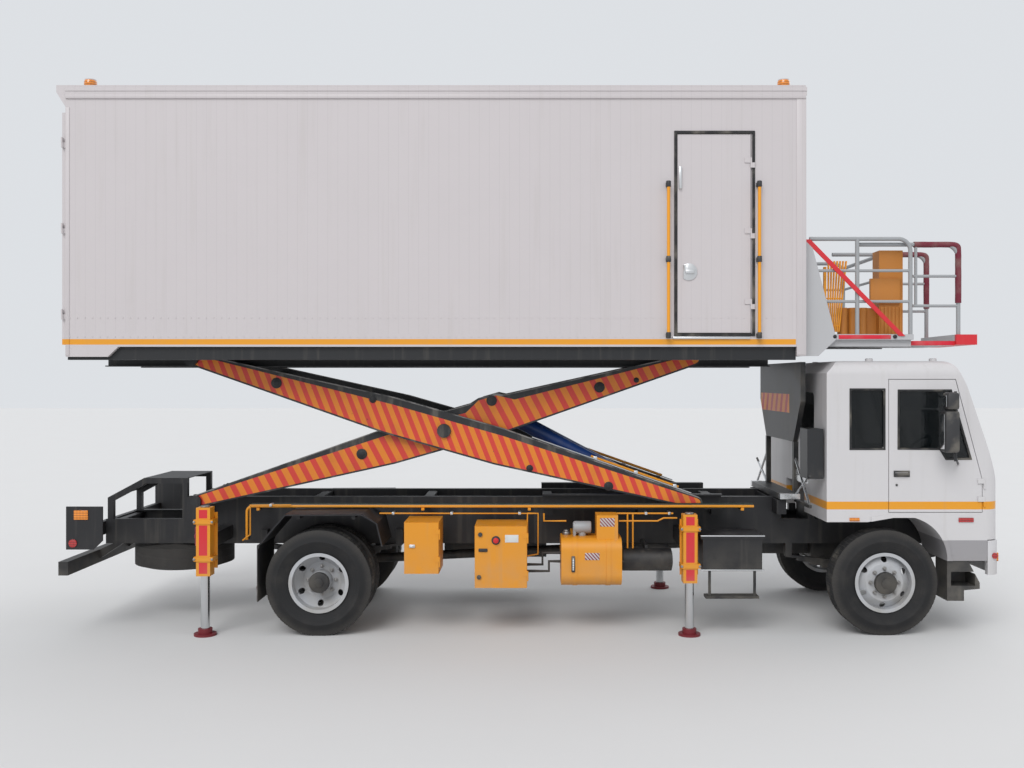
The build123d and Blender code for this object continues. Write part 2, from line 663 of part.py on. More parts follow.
def rear_cowl():
    """Guard over the end of the frame: two bent side frames under a sloping sheet."""
    outer = [(-2420, RAIL_TOP), (-2420, 1290), (-2030, 1500), (-1565, 1500), (-1565, RAIL_TOP)]
    inner = [(-1620, RAIL_TOP), (-1620, 1440), (-2014, 1440), (-2360, 1254), (-2360, RAIL_TOP)]
    sheet = [(-2420, 1282), (-2420, 1290), (-2030, 1500), (-1565, 1500), (-1565, 1492), (-2028, 1492)]
    parts = both(along_y(outline(*outer, *inner), (RAIL_OUT - 60, RAIL_OUT)))
    parts.append(along_y(outline(*sheet), (-RAIL_OUT, RAIL_OUT)))
    return parts


def subframe():
    web = RAIL_OUT
    beam = box((SUB_REAR, SUB_FRONT), (web - RAIL_FLANGE, web), (RAIL_TOP, SUB_TOP))
    parts = both(beam)
    for station in (PIN_REAR, -200, 1000, 2300, 3300, ROLLER_X + 240, SUB_FRONT - 50):
        x = (station - 50, station + 50)
        parts.append(box(x, (RAIL_FLANGE - web, web - RAIL_FLANGE), (1100, 1280)))
    low = PIN_LOW - ROLLER_R - ROLLER_GAP - TRACK_WALL
    high = PIN_LOW + ROLLER_R + ROLLER_GAP + TRACK_WALL
    track = channel(TRACK_LOW_Y, TRACK_LOW_Y + 90, low, high, TRACK_WALL)
    parts += both(along_x(track, (ROLLER_X - 1600, ROLLER_X + 290)))
    for station in (2300, 3300, ROLLER_X + 240):
        parts += both(box((station - 50, station + 50), (web, TRACK_LOW_Y), (1120, 1280)))
    parts += both(box((SUB_FRONT - 100, SUB_FRONT), (web, 640), (1140, 1290)))
    parts += both(box((-1490, -1350), (web, 660), (1080, 1190)))
    parts += rear_cowl()
    ear = outline((-1490, 1190), (-1350, 1190), (-1350, 1300), (-1380, 1335), (-1460, 1335),
                  (-1490, 1300))
    hole = bar(PIN_R + FIT, (PIN_REAR, 480, PIN_LOW), (PIN_REAR, 680, PIN_LOW))
    for y in ((500, 530), (630, 660)):
        parts += both(along_y(ear, y) - hole)
    return joined(*parts)


def hydraulic_pipes():
    parts = []
    for y, z, radius in ((760, 1250, 22), (806, 1244, 14)):
        parts.append(pipe(radius, [(-820, -y, 900), (-820, -y, z), (4420, -y, z)], 60))
    for station in (-700, 1000, 2100, 4300):
        parts.append(box((station - 15, station + 15), (-830, -RAIL_OUT), (1204, 1232)))
    return joined(*parts)


# Stabilisers

def stabiliser_housings():
    parts = []
    for station, low, high in STABILISERS.values():
        x = (station - HOUSING_HALF, station + HOUSING_HALF)
        y = (STABILISER_Y - HOUSING_HALF, STABILISER_Y + HOUSING_HALF)
        tube = box(x, y, (low, high))
        tube -= bar(ROD_R + SEAT, (station, STABILISER_Y, low - 5), (station, STABILISER_Y, high - 15))
        tube += box((x[0] - 15, x[1] + 30), (y[0] - 12, y[0]), (low + 60, high - 60))
        for z in (low + 170, high - 140):
            tube += box((x[0] - 22, x[1] + 30), (y[0], y[1] + 12), (z - 22, z + 22))
        tube -= bar(ROD_R + SEAT, (station, STABILISER_Y, low - 5), (station, STABILISER_Y, high - 15))
        parts += both(tube)
    return joined(*parts)


def stabiliser_leg(end, left):
    station, low, high = STABILISERS[end]
    top = high - LEG_TRAVEL - 25
    rod = bar(ROD_R, (station, STABILISER_Y, 30), (station, STABILISER_Y, top))
    foot = bar(FOOT_R, (station, STABILISER_Y, 0), (station, STABILISER_Y, 22))
    collar = bar(70, (station, STABILISER_Y, 15), (station, STABILISER_Y, 70))
    return side(joined(rod, foot, collar), left)


# Equipment hung on the chassis. Each row is station range, height range and depth range.
CABINET_Y = (720, 1190)
CABINETS = {"rear": ((853, 1200), (620, 1134)), "front": ((1556, 2078), (479, 1096))}
CABINET_WALL = 20


def tool_cabinets():
    parts = []
    for x, z in CABINETS.values():
        case = box(x, CABINET_Y, z)
        case -= box((x[0] + CABINET_WALL, x[1] - CABINET_WALL),
                    (CABINET_Y[0] + CABINET_WALL, CABINET_Y[1] + 1),
                    (z[0] + CABINET_WALL, z[1] - CABINET_WALL))
        for station in (x[0] + 60, x[1] - 60):
            case += box((station - 25, station + 25), (RAIL_OUT, CABINET_Y[0]), (940, 1000))
        for height in (z[0] + 120, z[1] - 120):
            web = ((x[1], x[1] + 12), (CABINET_Y[1] - 20, CABINET_Y[1] + 16))
            case += hinge_half((x[1] + 6, CABINET_Y[1] + 16), web, height, False)
        parts.append(mirror(case, about=Plane.XZ))
    return joined(*parts)


def cabinet_door(name):
    x, z = CABINETS[name]
    leaf = box((x[0] + 3, x[1] - 3), (CABINET_Y[1] + 1, CABINET_Y[1] + 19), (z[0] + 3, z[1] - 3))
    for height in (z[0] + 120, z[1] - 120):
        web = ((x[1] - 40, x[1] + 6), (CABINET_Y[1] + 18, CABINET_Y[1] + 24))
        leaf += hinge_half((x[1] + 6, CABINET_Y[1] + 16), web, height, True)
    return mirror(leaf, about=Plane.XZ)


def hydraulic_tank():
    profile = rect((700, 1180), (486, 965))
    profile = fillet(profile.vertices(), 120)
    tank = along_x(profile, (2420, 3025))
    strap = fillet(rect((695, 1185), (481, 970)).vertices(), 124)
    for station in (2535, 2870):
        tank += along_x(strap, (station, station + 45))
    for station in (2560, 2880):
        tank += box((station - 25, station + 25), (RAIL_OUT, 760), (880, 960))
    upper = box((2776, 2990), (860, 1120), (930, 1192))
    return mirror(joined(tank, upper), about=Plane.XZ)


def battery_box():
    case = box((3830, 4420), (740, 1190), (647, 990))
    case += box((3810, 4440), (730, 1200), (965, 1000))
    for station in (3900, 4350):
        case += box((station - 20, station + 20), (RAIL_OUT, 740), (900, 960))
        case += box((station - 12, station + 12), (1150, 1175), (380, 647))
    case += box((3860, 4390), (1050, 1190), (370, 395))
    return mirror(case, about=Plane.XZ)


def air_tanks():
    parts = []
    for y in (560, 830):
        tank = bar(115, (3060, y, 700), (3560, y, 700))
        tank += box((3290, 3320), (min(y, RAIL_OUT + 5) - 5, y + 5), (810, 850))
        parts.append(tank)
    parts.append(box((3290, 3320), (RAIL_OUT, 840), (810, 850)))
    return mirror(joined(*parts), about=Plane.XZ)


def fuel_tank():
    profile = fillet(rect((640, 1190), (450, 1000)).vertices(), 110)
    tank = along_x(profile, (1100, 2300))
    strap = fillet(rect((635, 1195), (445, 1005)).vertices(), 114)
    for station in (1330, 2020):
        tank += along_x(strap, (station, station + 60))
    for station in (1350, 2050):
        tank += box((station - 30, station + 30), (RAIL_OUT, 700), (900, 980))
    return tank


def rear_bumper():
    parts = [box((REAR_END, REAR_END + 96), (-1180, 1180), (600, 737))]
    for y in (385,):
        parts += both(along_y(outline((-2500, 640), (-2500, 737), (-2360, 800), (-2260, 800)),
                              (y - 40, y + 40)))
    parts.append(box((RAIL_REAR - 60, RAIL_REAR), (-1180, 1180), (900, 1040)))
    plate = along_y(outline((-2510, 862), (-2235, 862), (-2146, 950), (-2146, 1290), (-2510, 1290)),
                    (1185, 1200))
    arm = box((-2500, -2440), (1150, 1190), (900, 1040))
    parts += both(joined(plate, arm))
    return joined(*parts)


def spare_wheel():
    tyre = Pos(-1730, 0, 648) * Rot(90, 0, 0) * Pos(0, 0, -AXLE_Z) * tyre_at(0)
    rim = Pos(-1730, 0, 648) * Rot(90, 0, 0) * Pos(0, 0, -AXLE_Z) * joined(*rim_at(0, 1, 60))
    carrier = box((-1760, -1700), (-345, 345), (802, 850))
    post = bar(30, (-1730, 0, 660), (-1730, 0, 820)) + bar(90, (-1730, 0, 688), (-1730, 0, 700))
    return joined(tyre, rim, carrier, post)


# Van body

def van_floor():
    inner = VAN_HALF - VAN_WALL
    front = VAN_FRONT - FRONT_WALL
    parts = [box((VAN_REAR, front), (-inner, inner), (VAN_BASE, VAN_FLOOR))]
    low = PIN_UP - ROLLER_R - ROLLER_GAP - TRACK_WALL
    high = PIN_UP + ROLLER_R + ROLLER_GAP + TRACK_WALL
    track = channel(TRACK_UP_Y, TRACK_UP_Y + 90, low, high, TRACK_WALL)
    parts += both(along_x(track, (VAN_REAR + 90, front - 100)))
    parts += both(box((VAN_REAR + 90, front - 100), (TRACK_UP_Y, TRACK_UP_Y + 90), (high, VAN_BASE)))
    parts += both(box((VAN_REAR, front), (inner - 60, inner), (VAN_BASE - 110, VAN_BASE)))
    for station in (-2200, -1800, -700, 200, 1100, 2000, 2700, 3500, 4400):
        x = (station - 30, station + 30)
        parts.append(box(x, (-TRACK_UP_Y, TRACK_UP_Y), (VAN_BASE - 80, VAN_BASE)))
        start = 640 if 2200 < station < 4000 else TRACK_UP_Y + 90
        parts += both(box(x, (start, inner - 60), (VAN_BASE - 80, VAN_BASE)))
    hole = bar(PIN_R + FIT, (PIN_REAR, 580, PIN_UP), (PIN_REAR, 780, PIN_UP))
    ear = outline((-1490, VAN_BASE), (-1350, VAN_BASE), (-1350, PIN_UP - 30), (-1380, PIN_UP - 65),
                  (-1460, PIN_UP - 65), (-1490, PIN_UP - 30))
    for y in ((600, 630), (730, 760)):
        parts += both(along_y(ear, y) - hole)
    return joined(*parts)


def van_wall(left):
    y = (VAN_HALF - VAN_WALL, VAN_HALF)
    wall = box((VAN_REAR, VAN_FRONT - FRONT_WALL), y, (WALL_FOOT, VAN_EAVES))
    foot = WALL_FOOT - 100
    skirt = outline((VAN_REAR, WALL_FOOT), (-1970, WALL_FOOT), (-2075, foot), (VAN_REAR, foot))
    wall += along_y(skirt, y)
    for height in REAR_HINGES:
        web = ((VAN_REAR - 30, VAN_REAR), (VAN_HALF - 7, VAN_HALF + 6))
        lug = hinge_half((VAN_REAR - 30, VAN_HALF + 18), web, height, False)
        wall += lug + box((VAN_REAR - 36, VAN_REAR - 16), (VAN_HALF - 7, VAN_HALF + 18), (height - 50, height))
    if not left:
        wall -= box(SIDE_DOOR, (y[0] - 5, y[1] + 5), SIDE_DOOR_Z)
        for height in SIDE_HINGES:
            web = ((SIDE_DOOR[1] - 4, SIDE_DOOR[1] + 30), (VAN_HALF, VAN_HALF + 20))
            wall += hinge_half((SIDE_DOOR[1] - 4, VAN_HALF + 12), web, height, False)
    return side(wall, left)


def van_roof():
    x = (VAN_REAR, VAN_FRONT)
    slab = box(x, (-VAN_HALF, VAN_HALF), (VAN_EAVES, VAN_ROOF))
    band = box((x[0], x[1] + 8), (-VAN_HALF - 8, VAN_HALF + 8), (VAN_EAVES, VAN_EAVES + 40))
    band += box((x[0], x[1] + 8), (-VAN_HALF - 14, VAN_HALF + 14), (VAN_EAVES + 40, VAN_ROOF - 22))
    flare = outline((VAN_REAR, VAN_EAVES - 120), (REAR_END + 12, VAN_EAVES + 30),
                    (REAR_END + 12, VAN_ROOF), (VAN_REAR + 20, VAN_ROOF),
                    (VAN_REAR + 20, VAN_EAVES), (VAN_REAR, VAN_EAVES))
    parts = [slab, band, along_y(flare, (-VAN_HALF, VAN_HALF))]
    for station in (VAN_REAR + 190, VAN_FRONT - 190):
        for y in (-1120, 1120):
            parts.append(bar(55, (station, y, VAN_ROOF), (station, y, VAN_ROOF + 90)))
    return joined(*parts)


def van_front_wall():
    x = (VAN_FRONT - FRONT_WALL, VAN_FRONT)
    wall = box(x, (-VAN_HALF, VAN_HALF), (POST_FOOT, VAN_EAVES))
    head = VAN_EAVES - 370
    wall -= box((x[0] - 5, x[1] + 5), (-750, 750), (VAN_FLOOR, head))
    shutter = box((x[0] + 30, x[0] + 55), (-750, 750), (VAN_FLOOR, head))
    parts = [wall, shutter]
    parts += both(box((x[1], x[1] + GUIDE_DEPTH), GUIDE_Y, (POST_FOOT + 60, VAN_EAVES - 70)))
    return joined(*parts)


def van_rear_frame():
    inner = VAN_HALF - VAN_WALL
    x = (VAN_REAR, VAN_REAR + 60)
    frame = box(x, (-inner, inner), (VAN_FLOOR, VAN_EAVES))
    frame -= box((x[0] - 5, x[1] + 5), (-1130, 1130), (VAN_FLOOR - 5, REAR_DOOR_TOP - 50))
    return frame


def rear_door(left):
    x = (VAN_REAR - 40, VAN_REAR - 2)
    leaf = box(x, (4, 1240), (WALL_FOOT + 20, REAR_DOOR_TOP))
    for height in REAR_HINGES:
        web = ((x[0], x[0] + 10), (1230, VAN_HALF + 18))
        leaf += hinge_half((VAN_REAR - 30, VAN_HALF + 18), web, height, True)
    for y in LOCK_BARS:
        leaf += bar(11, (x[0] - 13, y, VAN_FLOOR), (x[0] - 13, y, REAR_DOOR_TOP - 50))
        for height in (VAN_FLOOR + 30, VAN_FLOOR + 740, VAN_FLOOR + 1440, REAR_DOOR_TOP - 90):
            leaf += box((x[0] - 24, x[0] + 1), (y - 28, y + 28), (height - 20, height + 20))
        leaf += box((x[0] - 22, x[0] - 10), (y - 230, y), (VAN_FLOOR + 600, VAN_FLOOR + 630))
    return side(leaf, left)


def van_side_door():
    y = (VAN_HALF - VAN_WALL + 2, VAN_HALF)
    gap = LEAF_GAP
    x = (SIDE_DOOR[0] + gap, SIDE_DOOR[1] - gap)
    leaf = box(x, y, (SIDE_DOOR_Z[0] + gap, SIDE_DOOR_Z[1] - gap))
    for height in SIDE_HINGES:
        web = ((x[1] - 60, SIDE_DOOR[1] - 4), (VAN_HALF - 2, VAN_HALF + 10))
        leaf += hinge_half((SIDE_DOOR[1] - 4, VAN_HALF + 12), web, height, True)
    return mirror(leaf, about=Plane.XZ)


def van_handrails():
    parts = []
    y = VAN_HALF + 65
    low = VAN_FLOOR + 10
    for station in (SIDE_DOOR[0] - 90, SIDE_DOOR[1] + 65):
        parts.append(bar(16, (station, y, low), (station, y, low + 1530)))
        for z in (low + 20, low + 770, low + 1510):
            parts.append(box((station - 14, station + 14), (VAN_HALF, y), (z - 14, z + 14)))
    return mirror(joined(*parts), about=Plane.XZ)


# Platform

def platform_deck():
    back = VAN_FRONT + 10
    start = back + 60
    top = HANDRAIL_TOP - 10
    deck = box((start, DECK_FRONT), (-DECK_HALF, DECK_HALF), (DECK_BOTTOM, DECK_TOP))
    parts = [deck]
    plate = outline((back, PLATE_FOOT), (back, top), (back + 70, top), (back + 326, DECK_TOP - 30),
                    (back + 326, DECK_BOTTOM), (back + 150, PLATE_FOOT))
    parts += both(along_y(plate, (DECK_HALF, DECK_HALF + 12)))
    post = box((back, back + 70), (1066, DECK_HALF), (DECK_TOP - 150, top))
    parts += both(post)
    keep = VAN_FRONT + GUIDE_DEPTH + PAD_GAP
    for z in ((DECK_TOP - 140, DECK_TOP), (top - 160, top - 10)):
        parts += both(box((keep, keep + 20), (990, 1070), z))
    for y in ((EXT_Y[0] - 22, EXT_Y[0] - PAD_GAP), (EXT_Y[1] + PAD_GAP, EXT_Y[1] + 22)):
        parts.append(box((start, DECK_FRONT - 10), y, (EXT_BOTTOM - 12, DECK_BOTTOM)))
        lip = (y[0], y[1] + 30) if y[0] < -600 else (y[0] - 30, y[1])
        parts.append(box((start, DECK_FRONT - 10), lip, (EXT_BOTTOM - 12, EXT_BOTTOM - PAD_GAP)))
    foot = DECK_FRONT - 88
    strap = outline((back + 12, top - 5), (back + 75, top - 5), (foot, DECK_TOP - 20),
                    (foot - 60, DECK_TOP - 20))
    parts.append(along_y(strap, (-DECK_HALF - 12, -DECK_HALF)))
    return joined(*parts)


def folded_gate():
    """Folding barrier: slats that fan out from their foot, on rods from an upright post."""
    y = (-985, -950)
    post = VAN_FRONT + 255
    low = DECK_TOP + 30
    high = DECK_TOP + 750
    parts = [box((post, post + 25), y, (DECK_TOP, high - 60))]
    for slat in range(7):
        foot = post + 43 + 17.5 * slat
        head = post + 43 + 30 * slat
        face = outline((foot, low), (foot + 11, low), (head + 14, high), (head, high))
        parts.append(along_y(face, (y[0] + 5, y[1] - 5)))
    for up, reach in ((90, 155), (370, 185), (650, 225)):
        parts.append(bar(7, (post + 15, -967, DECK_TOP + up), (post + reach, -967, DECK_TOP + up)))
    return joined(*parts)


def control_console():
    """Pedestal by the front rail, ribbed at its foot, with the switch box and a ribbed guard."""
    x = DECK_FRONT - 295
    knee = DECK_TOP + 280
    pedestal = box((x, x + 240), (-960, -760), (DECK_TOP, DECK_TOP + 860))
    for rib in range(6):
        start = x + 15 + 38 * rib
        pedestal += box((start, start + 18), (-970, -955), (DECK_TOP, knee))
    pedestal += box((x - 100, x + 200), (-995, -955), (DECK_TOP + 320, DECK_TOP + 570))
    parts = [pedestal, box((x - 395, x + 5), (-870, -850), (DECK_TOP, knee))]
    for column in (x - 345, x - 245, x - 145):
        parts.append(bar(44, (column, -880, DECK_TOP), (column, -880, knee)))
    return joined(*parts)


def platform_rails():
    back = VAN_FRONT + 80
    front = DECK_FRONT - 25
    far = -140
    rail = HANDRAIL_TOP - 60
    parts = []
    for y in (-1085, 1085):
        top = [(back, y, HANDRAIL_TOP), (front, y, HANDRAIL_TOP), (front, y, DECK_TOP)]
        parts.append(pipe(RAIL_R, top, 120))
        for z in MID_RAILS:
            parts.append(bar(RAIL_R - 6, (back, y, z), (front, y, z)))
        parts.append(bar(RAIL_R, (front - 535, y, DECK_TOP), (front - 535, y, HANDRAIL_TOP)))
    parts.append(bar(RAIL_R, (front, 1085, rail), (front, far, rail)))
    parts.append(bar(RAIL_R, (front, far, DECK_TOP), (front, far, rail)))
    for z in MID_RAILS:
        parts.append(bar(RAIL_R - 6, (front, 1085, z), (front, far, z)))
    return joined(*parts)


def extension_deck():
    deck = box((EXT_REAR, EXT_FRONT), EXT_Y, (EXT_BOTTOM, EXT_TOP))
    nose = box((EXT_FRONT, NOSE_FRONT), (EXT_Y[0] - 40, EXT_Y[1] + 40), (EXT_BOTTOM + 6, NOSE_TOP))
    return joined(deck, nose)


def extension_rails():
    rail = HANDRAIL_TOP - 50
    front = EXT_FRONT + 40
    parts = []
    for y in (-1030, -212):
        run = [(EXT_REAR + 70, y, rail), (front, y, rail), (front, y, NOSE_TOP)]
        parts.append(pipe(RAIL_R, run, 140))
        for z in (rail - 620, rail - 320):
            parts.append(bar(RAIL_R - 6, (DECK_FRONT + 20, y, z), (front, y, z)))
        parts.append(bar(RAIL_R - 6, (DECK_FRONT + 50, y, rail - 620), (DECK_FRONT + 50, y, rail)))
    return joined(*parts)


NODES = {
    "chassis_frame": chassis_frame,
    "front_axle": lambda: joined(front_axle(), both(kingpin_boss())),
    "rear_axle": rear_axle,
    "engine_gearbox": engine_gearbox,
    "rear_mudguards": rear_mudguards,
    "cab_shell": lambda: Pos(CAB_REAR, 0, 0) * cab_shell(),
    "cab_glass": lambda: Pos(CAB_REAR, 0, 0) * cab_glass(),
    "cab_interior": lambda: Pos(CAB_REAR, 0, 0) * cab_interior(),
    "front_bumper": lambda: Pos(CAB_REAR, 0, 0) * front_bumper(),
    "headboard": lambda: Pos(CAB_REAR, 0, 0) * headboard(),
    "subframe": subframe,
    "hydraulic_pipes": hydraulic_pipes,
    "stabiliser_housings": stabiliser_housings,
    "tool_cabinets": tool_cabinets,
    "cabinet_door_rear": lambda: cabinet_door("rear"),
    "cabinet_door_front": lambda: cabinet_door("front"),
    "hydraulic_tank": hydraulic_tank,
    "battery_box": battery_box,
    "air_tanks": air_tanks,
    "fuel_tank": fuel_tank,
    "rear_bumper": rear_bumper,
    "spare_wheel": spare_wheel,
    "inner_arms": inner_arms,
    "outer_arms": outer_arms,
    "lift_barrels": lift_barrels,
    "lift_rods": lift_rods,
    "van_floor": van_floor,
    "van_wall_left": lambda: van_wall(True),
    "van_wall_right": lambda: van_wall(False),
    "van_roof": van_roof,
    "van_front_wall": van_front_wall,
    "van_rear_frame": van_rear_frame,
    "van_side_door": van_side_door,
    "van_handrails": van_handrails,
    "platform_deck": platform_deck,
    "platform_rails": platform_rails,
    "folded_gate": folded_gate,
    "control_console": control_console,
    "extension_deck": extension_deck,
    "extension_rails": extension_rails,
}
for word, is_left in (("left", True), ("right", False)):
    NODES[f"front_tyre_{word}"] = lambda left=is_left: front_tyre(left)
    NODES[f"front_rim_{word}"] = lambda left=is_left: front_rim(left)
    NODES[f"rear_tyres_{word}"] = lambda left=is_left: rear_tyres(left)
    NODES[f"rear_rims_{word}"] = lambda left=is_left: rear_rims(left)
    NODES[f"knuckle_{word}"] = lambda left=is_left: knuckle(left)
    NODES[f"cab_door_{word}"] = lambda left=is_left: Pos(CAB_REAR, 0, 0) * cab_door(left)
    NODES[f"rear_door_{word}"] = lambda left=is_left: rear_door(left)
    for place in STABILISERS:
        NODES[f"leg_{place}_{word}"] = lambda end=place, left=is_left: stabiliser_leg(end, left)

os.makedirs("parts", exist_ok=True)
for node, make in NODES.items():
    export_step(Pos(-MIDDLE_X, 0, 0) * make(), f"parts/{node}.step")
    print(node)
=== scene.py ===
# %% [markdown]
# # Aircraft cabin loader
# A cabin loader is a truck whose van body rises on a scissor lift until its front platform
# meets an aircraft's door. The solids come from the CAD model, already in metres and in
# place. This lesson dresses them: each finish is a small net of shader nodes, and what the
# solids leave out, such as lamps, latches, tread and rivets, is modelled on top of them.

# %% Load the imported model
from math import hypot, pi, radians

import bpy
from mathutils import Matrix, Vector


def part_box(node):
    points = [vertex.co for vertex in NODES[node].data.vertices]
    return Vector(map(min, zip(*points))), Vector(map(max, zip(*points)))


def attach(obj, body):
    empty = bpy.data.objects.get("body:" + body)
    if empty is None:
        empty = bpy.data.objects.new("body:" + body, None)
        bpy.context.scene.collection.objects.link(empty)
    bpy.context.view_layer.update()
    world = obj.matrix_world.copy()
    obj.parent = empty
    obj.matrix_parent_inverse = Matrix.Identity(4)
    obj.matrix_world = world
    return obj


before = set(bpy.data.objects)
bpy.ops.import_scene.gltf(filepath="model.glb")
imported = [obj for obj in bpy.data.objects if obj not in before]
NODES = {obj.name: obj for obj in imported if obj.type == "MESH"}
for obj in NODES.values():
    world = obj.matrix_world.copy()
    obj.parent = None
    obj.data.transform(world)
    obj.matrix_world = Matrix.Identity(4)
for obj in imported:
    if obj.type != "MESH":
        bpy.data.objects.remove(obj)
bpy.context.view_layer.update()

rear_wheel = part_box("rear_tyres_right")
REAR_AXLE = (rear_wheel[0].x + rear_wheel[1].x) / 2

# %% [markdown]
# ## Camera
# The photograph looks square at the side of the truck, from just below the height of the
# van's floor. A camera that looks straight along +Y with a small shift gives the same view.
# The shift takes the place of turning the camera, so upright edges stay upright.

# %% Camera
PHOTO_WIDTH = 1024
FOCAL_PIXELS = 1007
EYE = (0.005, -11.22, 2.55)
SHIFT_PIXELS = (18, 4)

bpy.ops.object.select_all(action="DESELECT")
bpy.ops.object.camera_add(location=EYE, rotation=(pi / 2, 0, 0))
camera = bpy.context.object
camera.data.lens = camera.data.sensor_width * FOCAL_PIXELS / PHOTO_WIDTH
camera.data.shift_x = -SHIFT_PIXELS[0] / PHOTO_WIDTH
camera.data.shift_y = -SHIFT_PIXELS[1] / PHOTO_WIDTH
camera.data.clip_end = 200
bpy.context.scene.camera = camera
bpy.context.scene.view_settings.view_transform = "Standard"
print("camera lens", round(camera.data.lens, 1), "mm")

# %% [markdown]
# ## Shader maths
# A finish is easier to read as a sum than as a picture of nodes. Level wraps one output
# socket that carries a number, and Python's own operators on it add Math nodes. Finish holds
# the material and has one method, node, for every other kind of node.

# %% Numbers that vary over a surface
class Level:
    """A number from a socket. Arithmetic on it adds Math nodes."""

    def __init__(self, finish, socket):
        self.finish = finish
        self.socket = socket

    def math(self, operation, *values):
        made = self.finish.node("ShaderNodeMath", {"operation": operation},
                                {i: v for i, v in enumerate(values)})
        return Level(self.finish, made.outputs[0])

    def __add__(self, other):
        return self.math("ADD", self, other)

    def __radd__(self, other):
        return self.math("ADD", other, self)

    def __sub__(self, other):
        return self.math("SUBTRACT", self, other)

    def __rsub__(self, other):
        return self.math("SUBTRACT", other, self)

    def __mul__(self, other):
        return self.math("MULTIPLY", self, other)

    def __rmul__(self, other):
        return self.math("MULTIPLY", other, self)

    def __truediv__(self, other):
        return self.math("DIVIDE", self, other)

    def __gt__(self, other):
        return self.math("GREATER_THAN", self, other)

    def __lt__(self, other):
        return self.math("LESS_THAN", self, other)

    def part(self):
        """What is left of the number after its whole part is taken off."""
        return self.math("FRACT", self)

    def size(self):
        """The number without its sign."""
        return self.math("ABSOLUTE", self)

    def most(self, other):
        return self.math("MAXIMUM", self, other)

    def least(self, other):
        return self.math("MINIMUM", self, other)

    def root(self):
        return self.math("SQRT", self)

    def wave(self):
        return self.math("SINE", self)

    def within(self, low, high):
        """1 between two values and 0 outside them."""
        return (self > low) * (self < high)

    def ramp(self, low, high):
        """0 below low, 1 above high and smooth between them. Low may be the higher one."""
        made = self.finish.node("ShaderNodeMapRange", {"interpolation_type": "SMOOTHSTEP"},
                                {"Value": self, "From Min": low, "From Max": high})
        return Level(self.finish, made.outputs["Result"])


print("arithmetic on a level adds Math nodes")

# %% A finish and its nodes
class Finish:
    """One material, with its nodes and the Principled shader that they feed."""

    def __init__(self, name, constants=None):
        self.material = bpy.data.materials.new(name)
        self.material.use_nodes = True
        self.tree = self.material.node_tree
        self.shader = self.tree.nodes["Principled BSDF"]
        for socket, value in (constants or {}).items():
            self.shader.inputs[socket].default_value = value
        self.coordinates = self.node("ShaderNodeTexCoord").outputs["Object"]
        axes = self.node("ShaderNodeSeparateXYZ", {}, {0: self.coordinates})
        self.x, self.y, self.z = [Level(self, socket) for socket in axes.outputs]

    def node(self, kind, settings=None, inputs=None):
        """Adds a node, sets it up and fills or links its sockets."""
        made = self.tree.nodes.new(kind)
        for key, value in (settings or {}).items():
            setattr(made, key, value)
        for key, value in (inputs or {}).items():
            self.feed(made.inputs[key], value)
        return made

    def feed(self, socket, value):
        if isinstance(value, Level):
            self.tree.links.new(value.socket, socket)
        elif isinstance(value, bpy.types.NodeSocket):
            self.tree.links.new(value, socket)
        elif isinstance(value, tuple) and len(value) == 3 and socket.type == "RGBA":
            socket.default_value = (*value, 1)
        else:
            socket.default_value = value

    def noise(self, scale, detail=3, stretch=(1, 1, 1)):
        """Cloudy pattern from 0 to 1, with scale in patches a metre."""
        place = self.node("ShaderNodeMapping", {}, {"Vector": self.coordinates, "Scale": stretch})
        made = self.node("ShaderNodeTexNoise", {}, {"Vector": place.outputs[0], "Scale": scale,
                                                    "Detail": detail})
        return Level(self, made.outputs[0])

    def cells(self, scale):
        """Distance to the nearest of many scattered points."""
        made = self.node("ShaderNodeTexVoronoi", {}, {"Vector": self.coordinates, "Scale": scale})
        return Level(self, made.outputs["Distance"])

    def mix(self, mask, under, over):
        """Colour that is under where the mask is 0 and over where it is 1."""
        made = self.node("ShaderNodeMix", {"data_type": "RGBA"}, {0: mask, 6: under, 7: over})
        return made.outputs[2]

    def bump(self, height, depth, strength=1.0):
        """Relief of so many metres, fed to the shader's normal."""
        made = self.node("ShaderNodeBump", {}, {"Height": height, "Distance": depth,
                                                "Strength": strength})
        self.feed(self.shader.inputs["Normal"], made.outputs[0])

    def show(self, colour, rough, metal=None):
        """Feeds the shader and gives the finished material."""
        self.feed(self.shader.inputs["Base Color"], colour)
        self.feed(self.shader.inputs["Roughness"], rough)
        if metal is not None:
            self.feed(self.shader.inputs["Metallic"], metal)
        return self.material


print("finishes have noise, cells, mixed colours and bump")

# %% Dress the CAD nodes
def dress(material, *names):
    """Gives CAD nodes a material in all their slots."""
    for name in names:
        mesh = NODES[name].data
        if not mesh.materials:
            mesh.materials.append(material)
        for i in range(len(mesh.materials)):
            mesh.materials[i] = material
    print(material.name, "on", ", ".join(names))


print("nodes can be dressed")

# %% [markdown]
# ## Paint
# Vehicle enamel is never one flat colour: road film dulls it low down, rain leaves faint
# streaks, and grit chips the edges. One function gives any paint these marks. Bands of
# another colour, such as the amber line round the body, are masks on height and station.

# %% Enamel with road film
DUST = (0.30, 0.27, 0.22)
CHIP = (0.16, 0.12, 0.09)
FILM_TOP = 1.1
FILM_FULL = 0.15


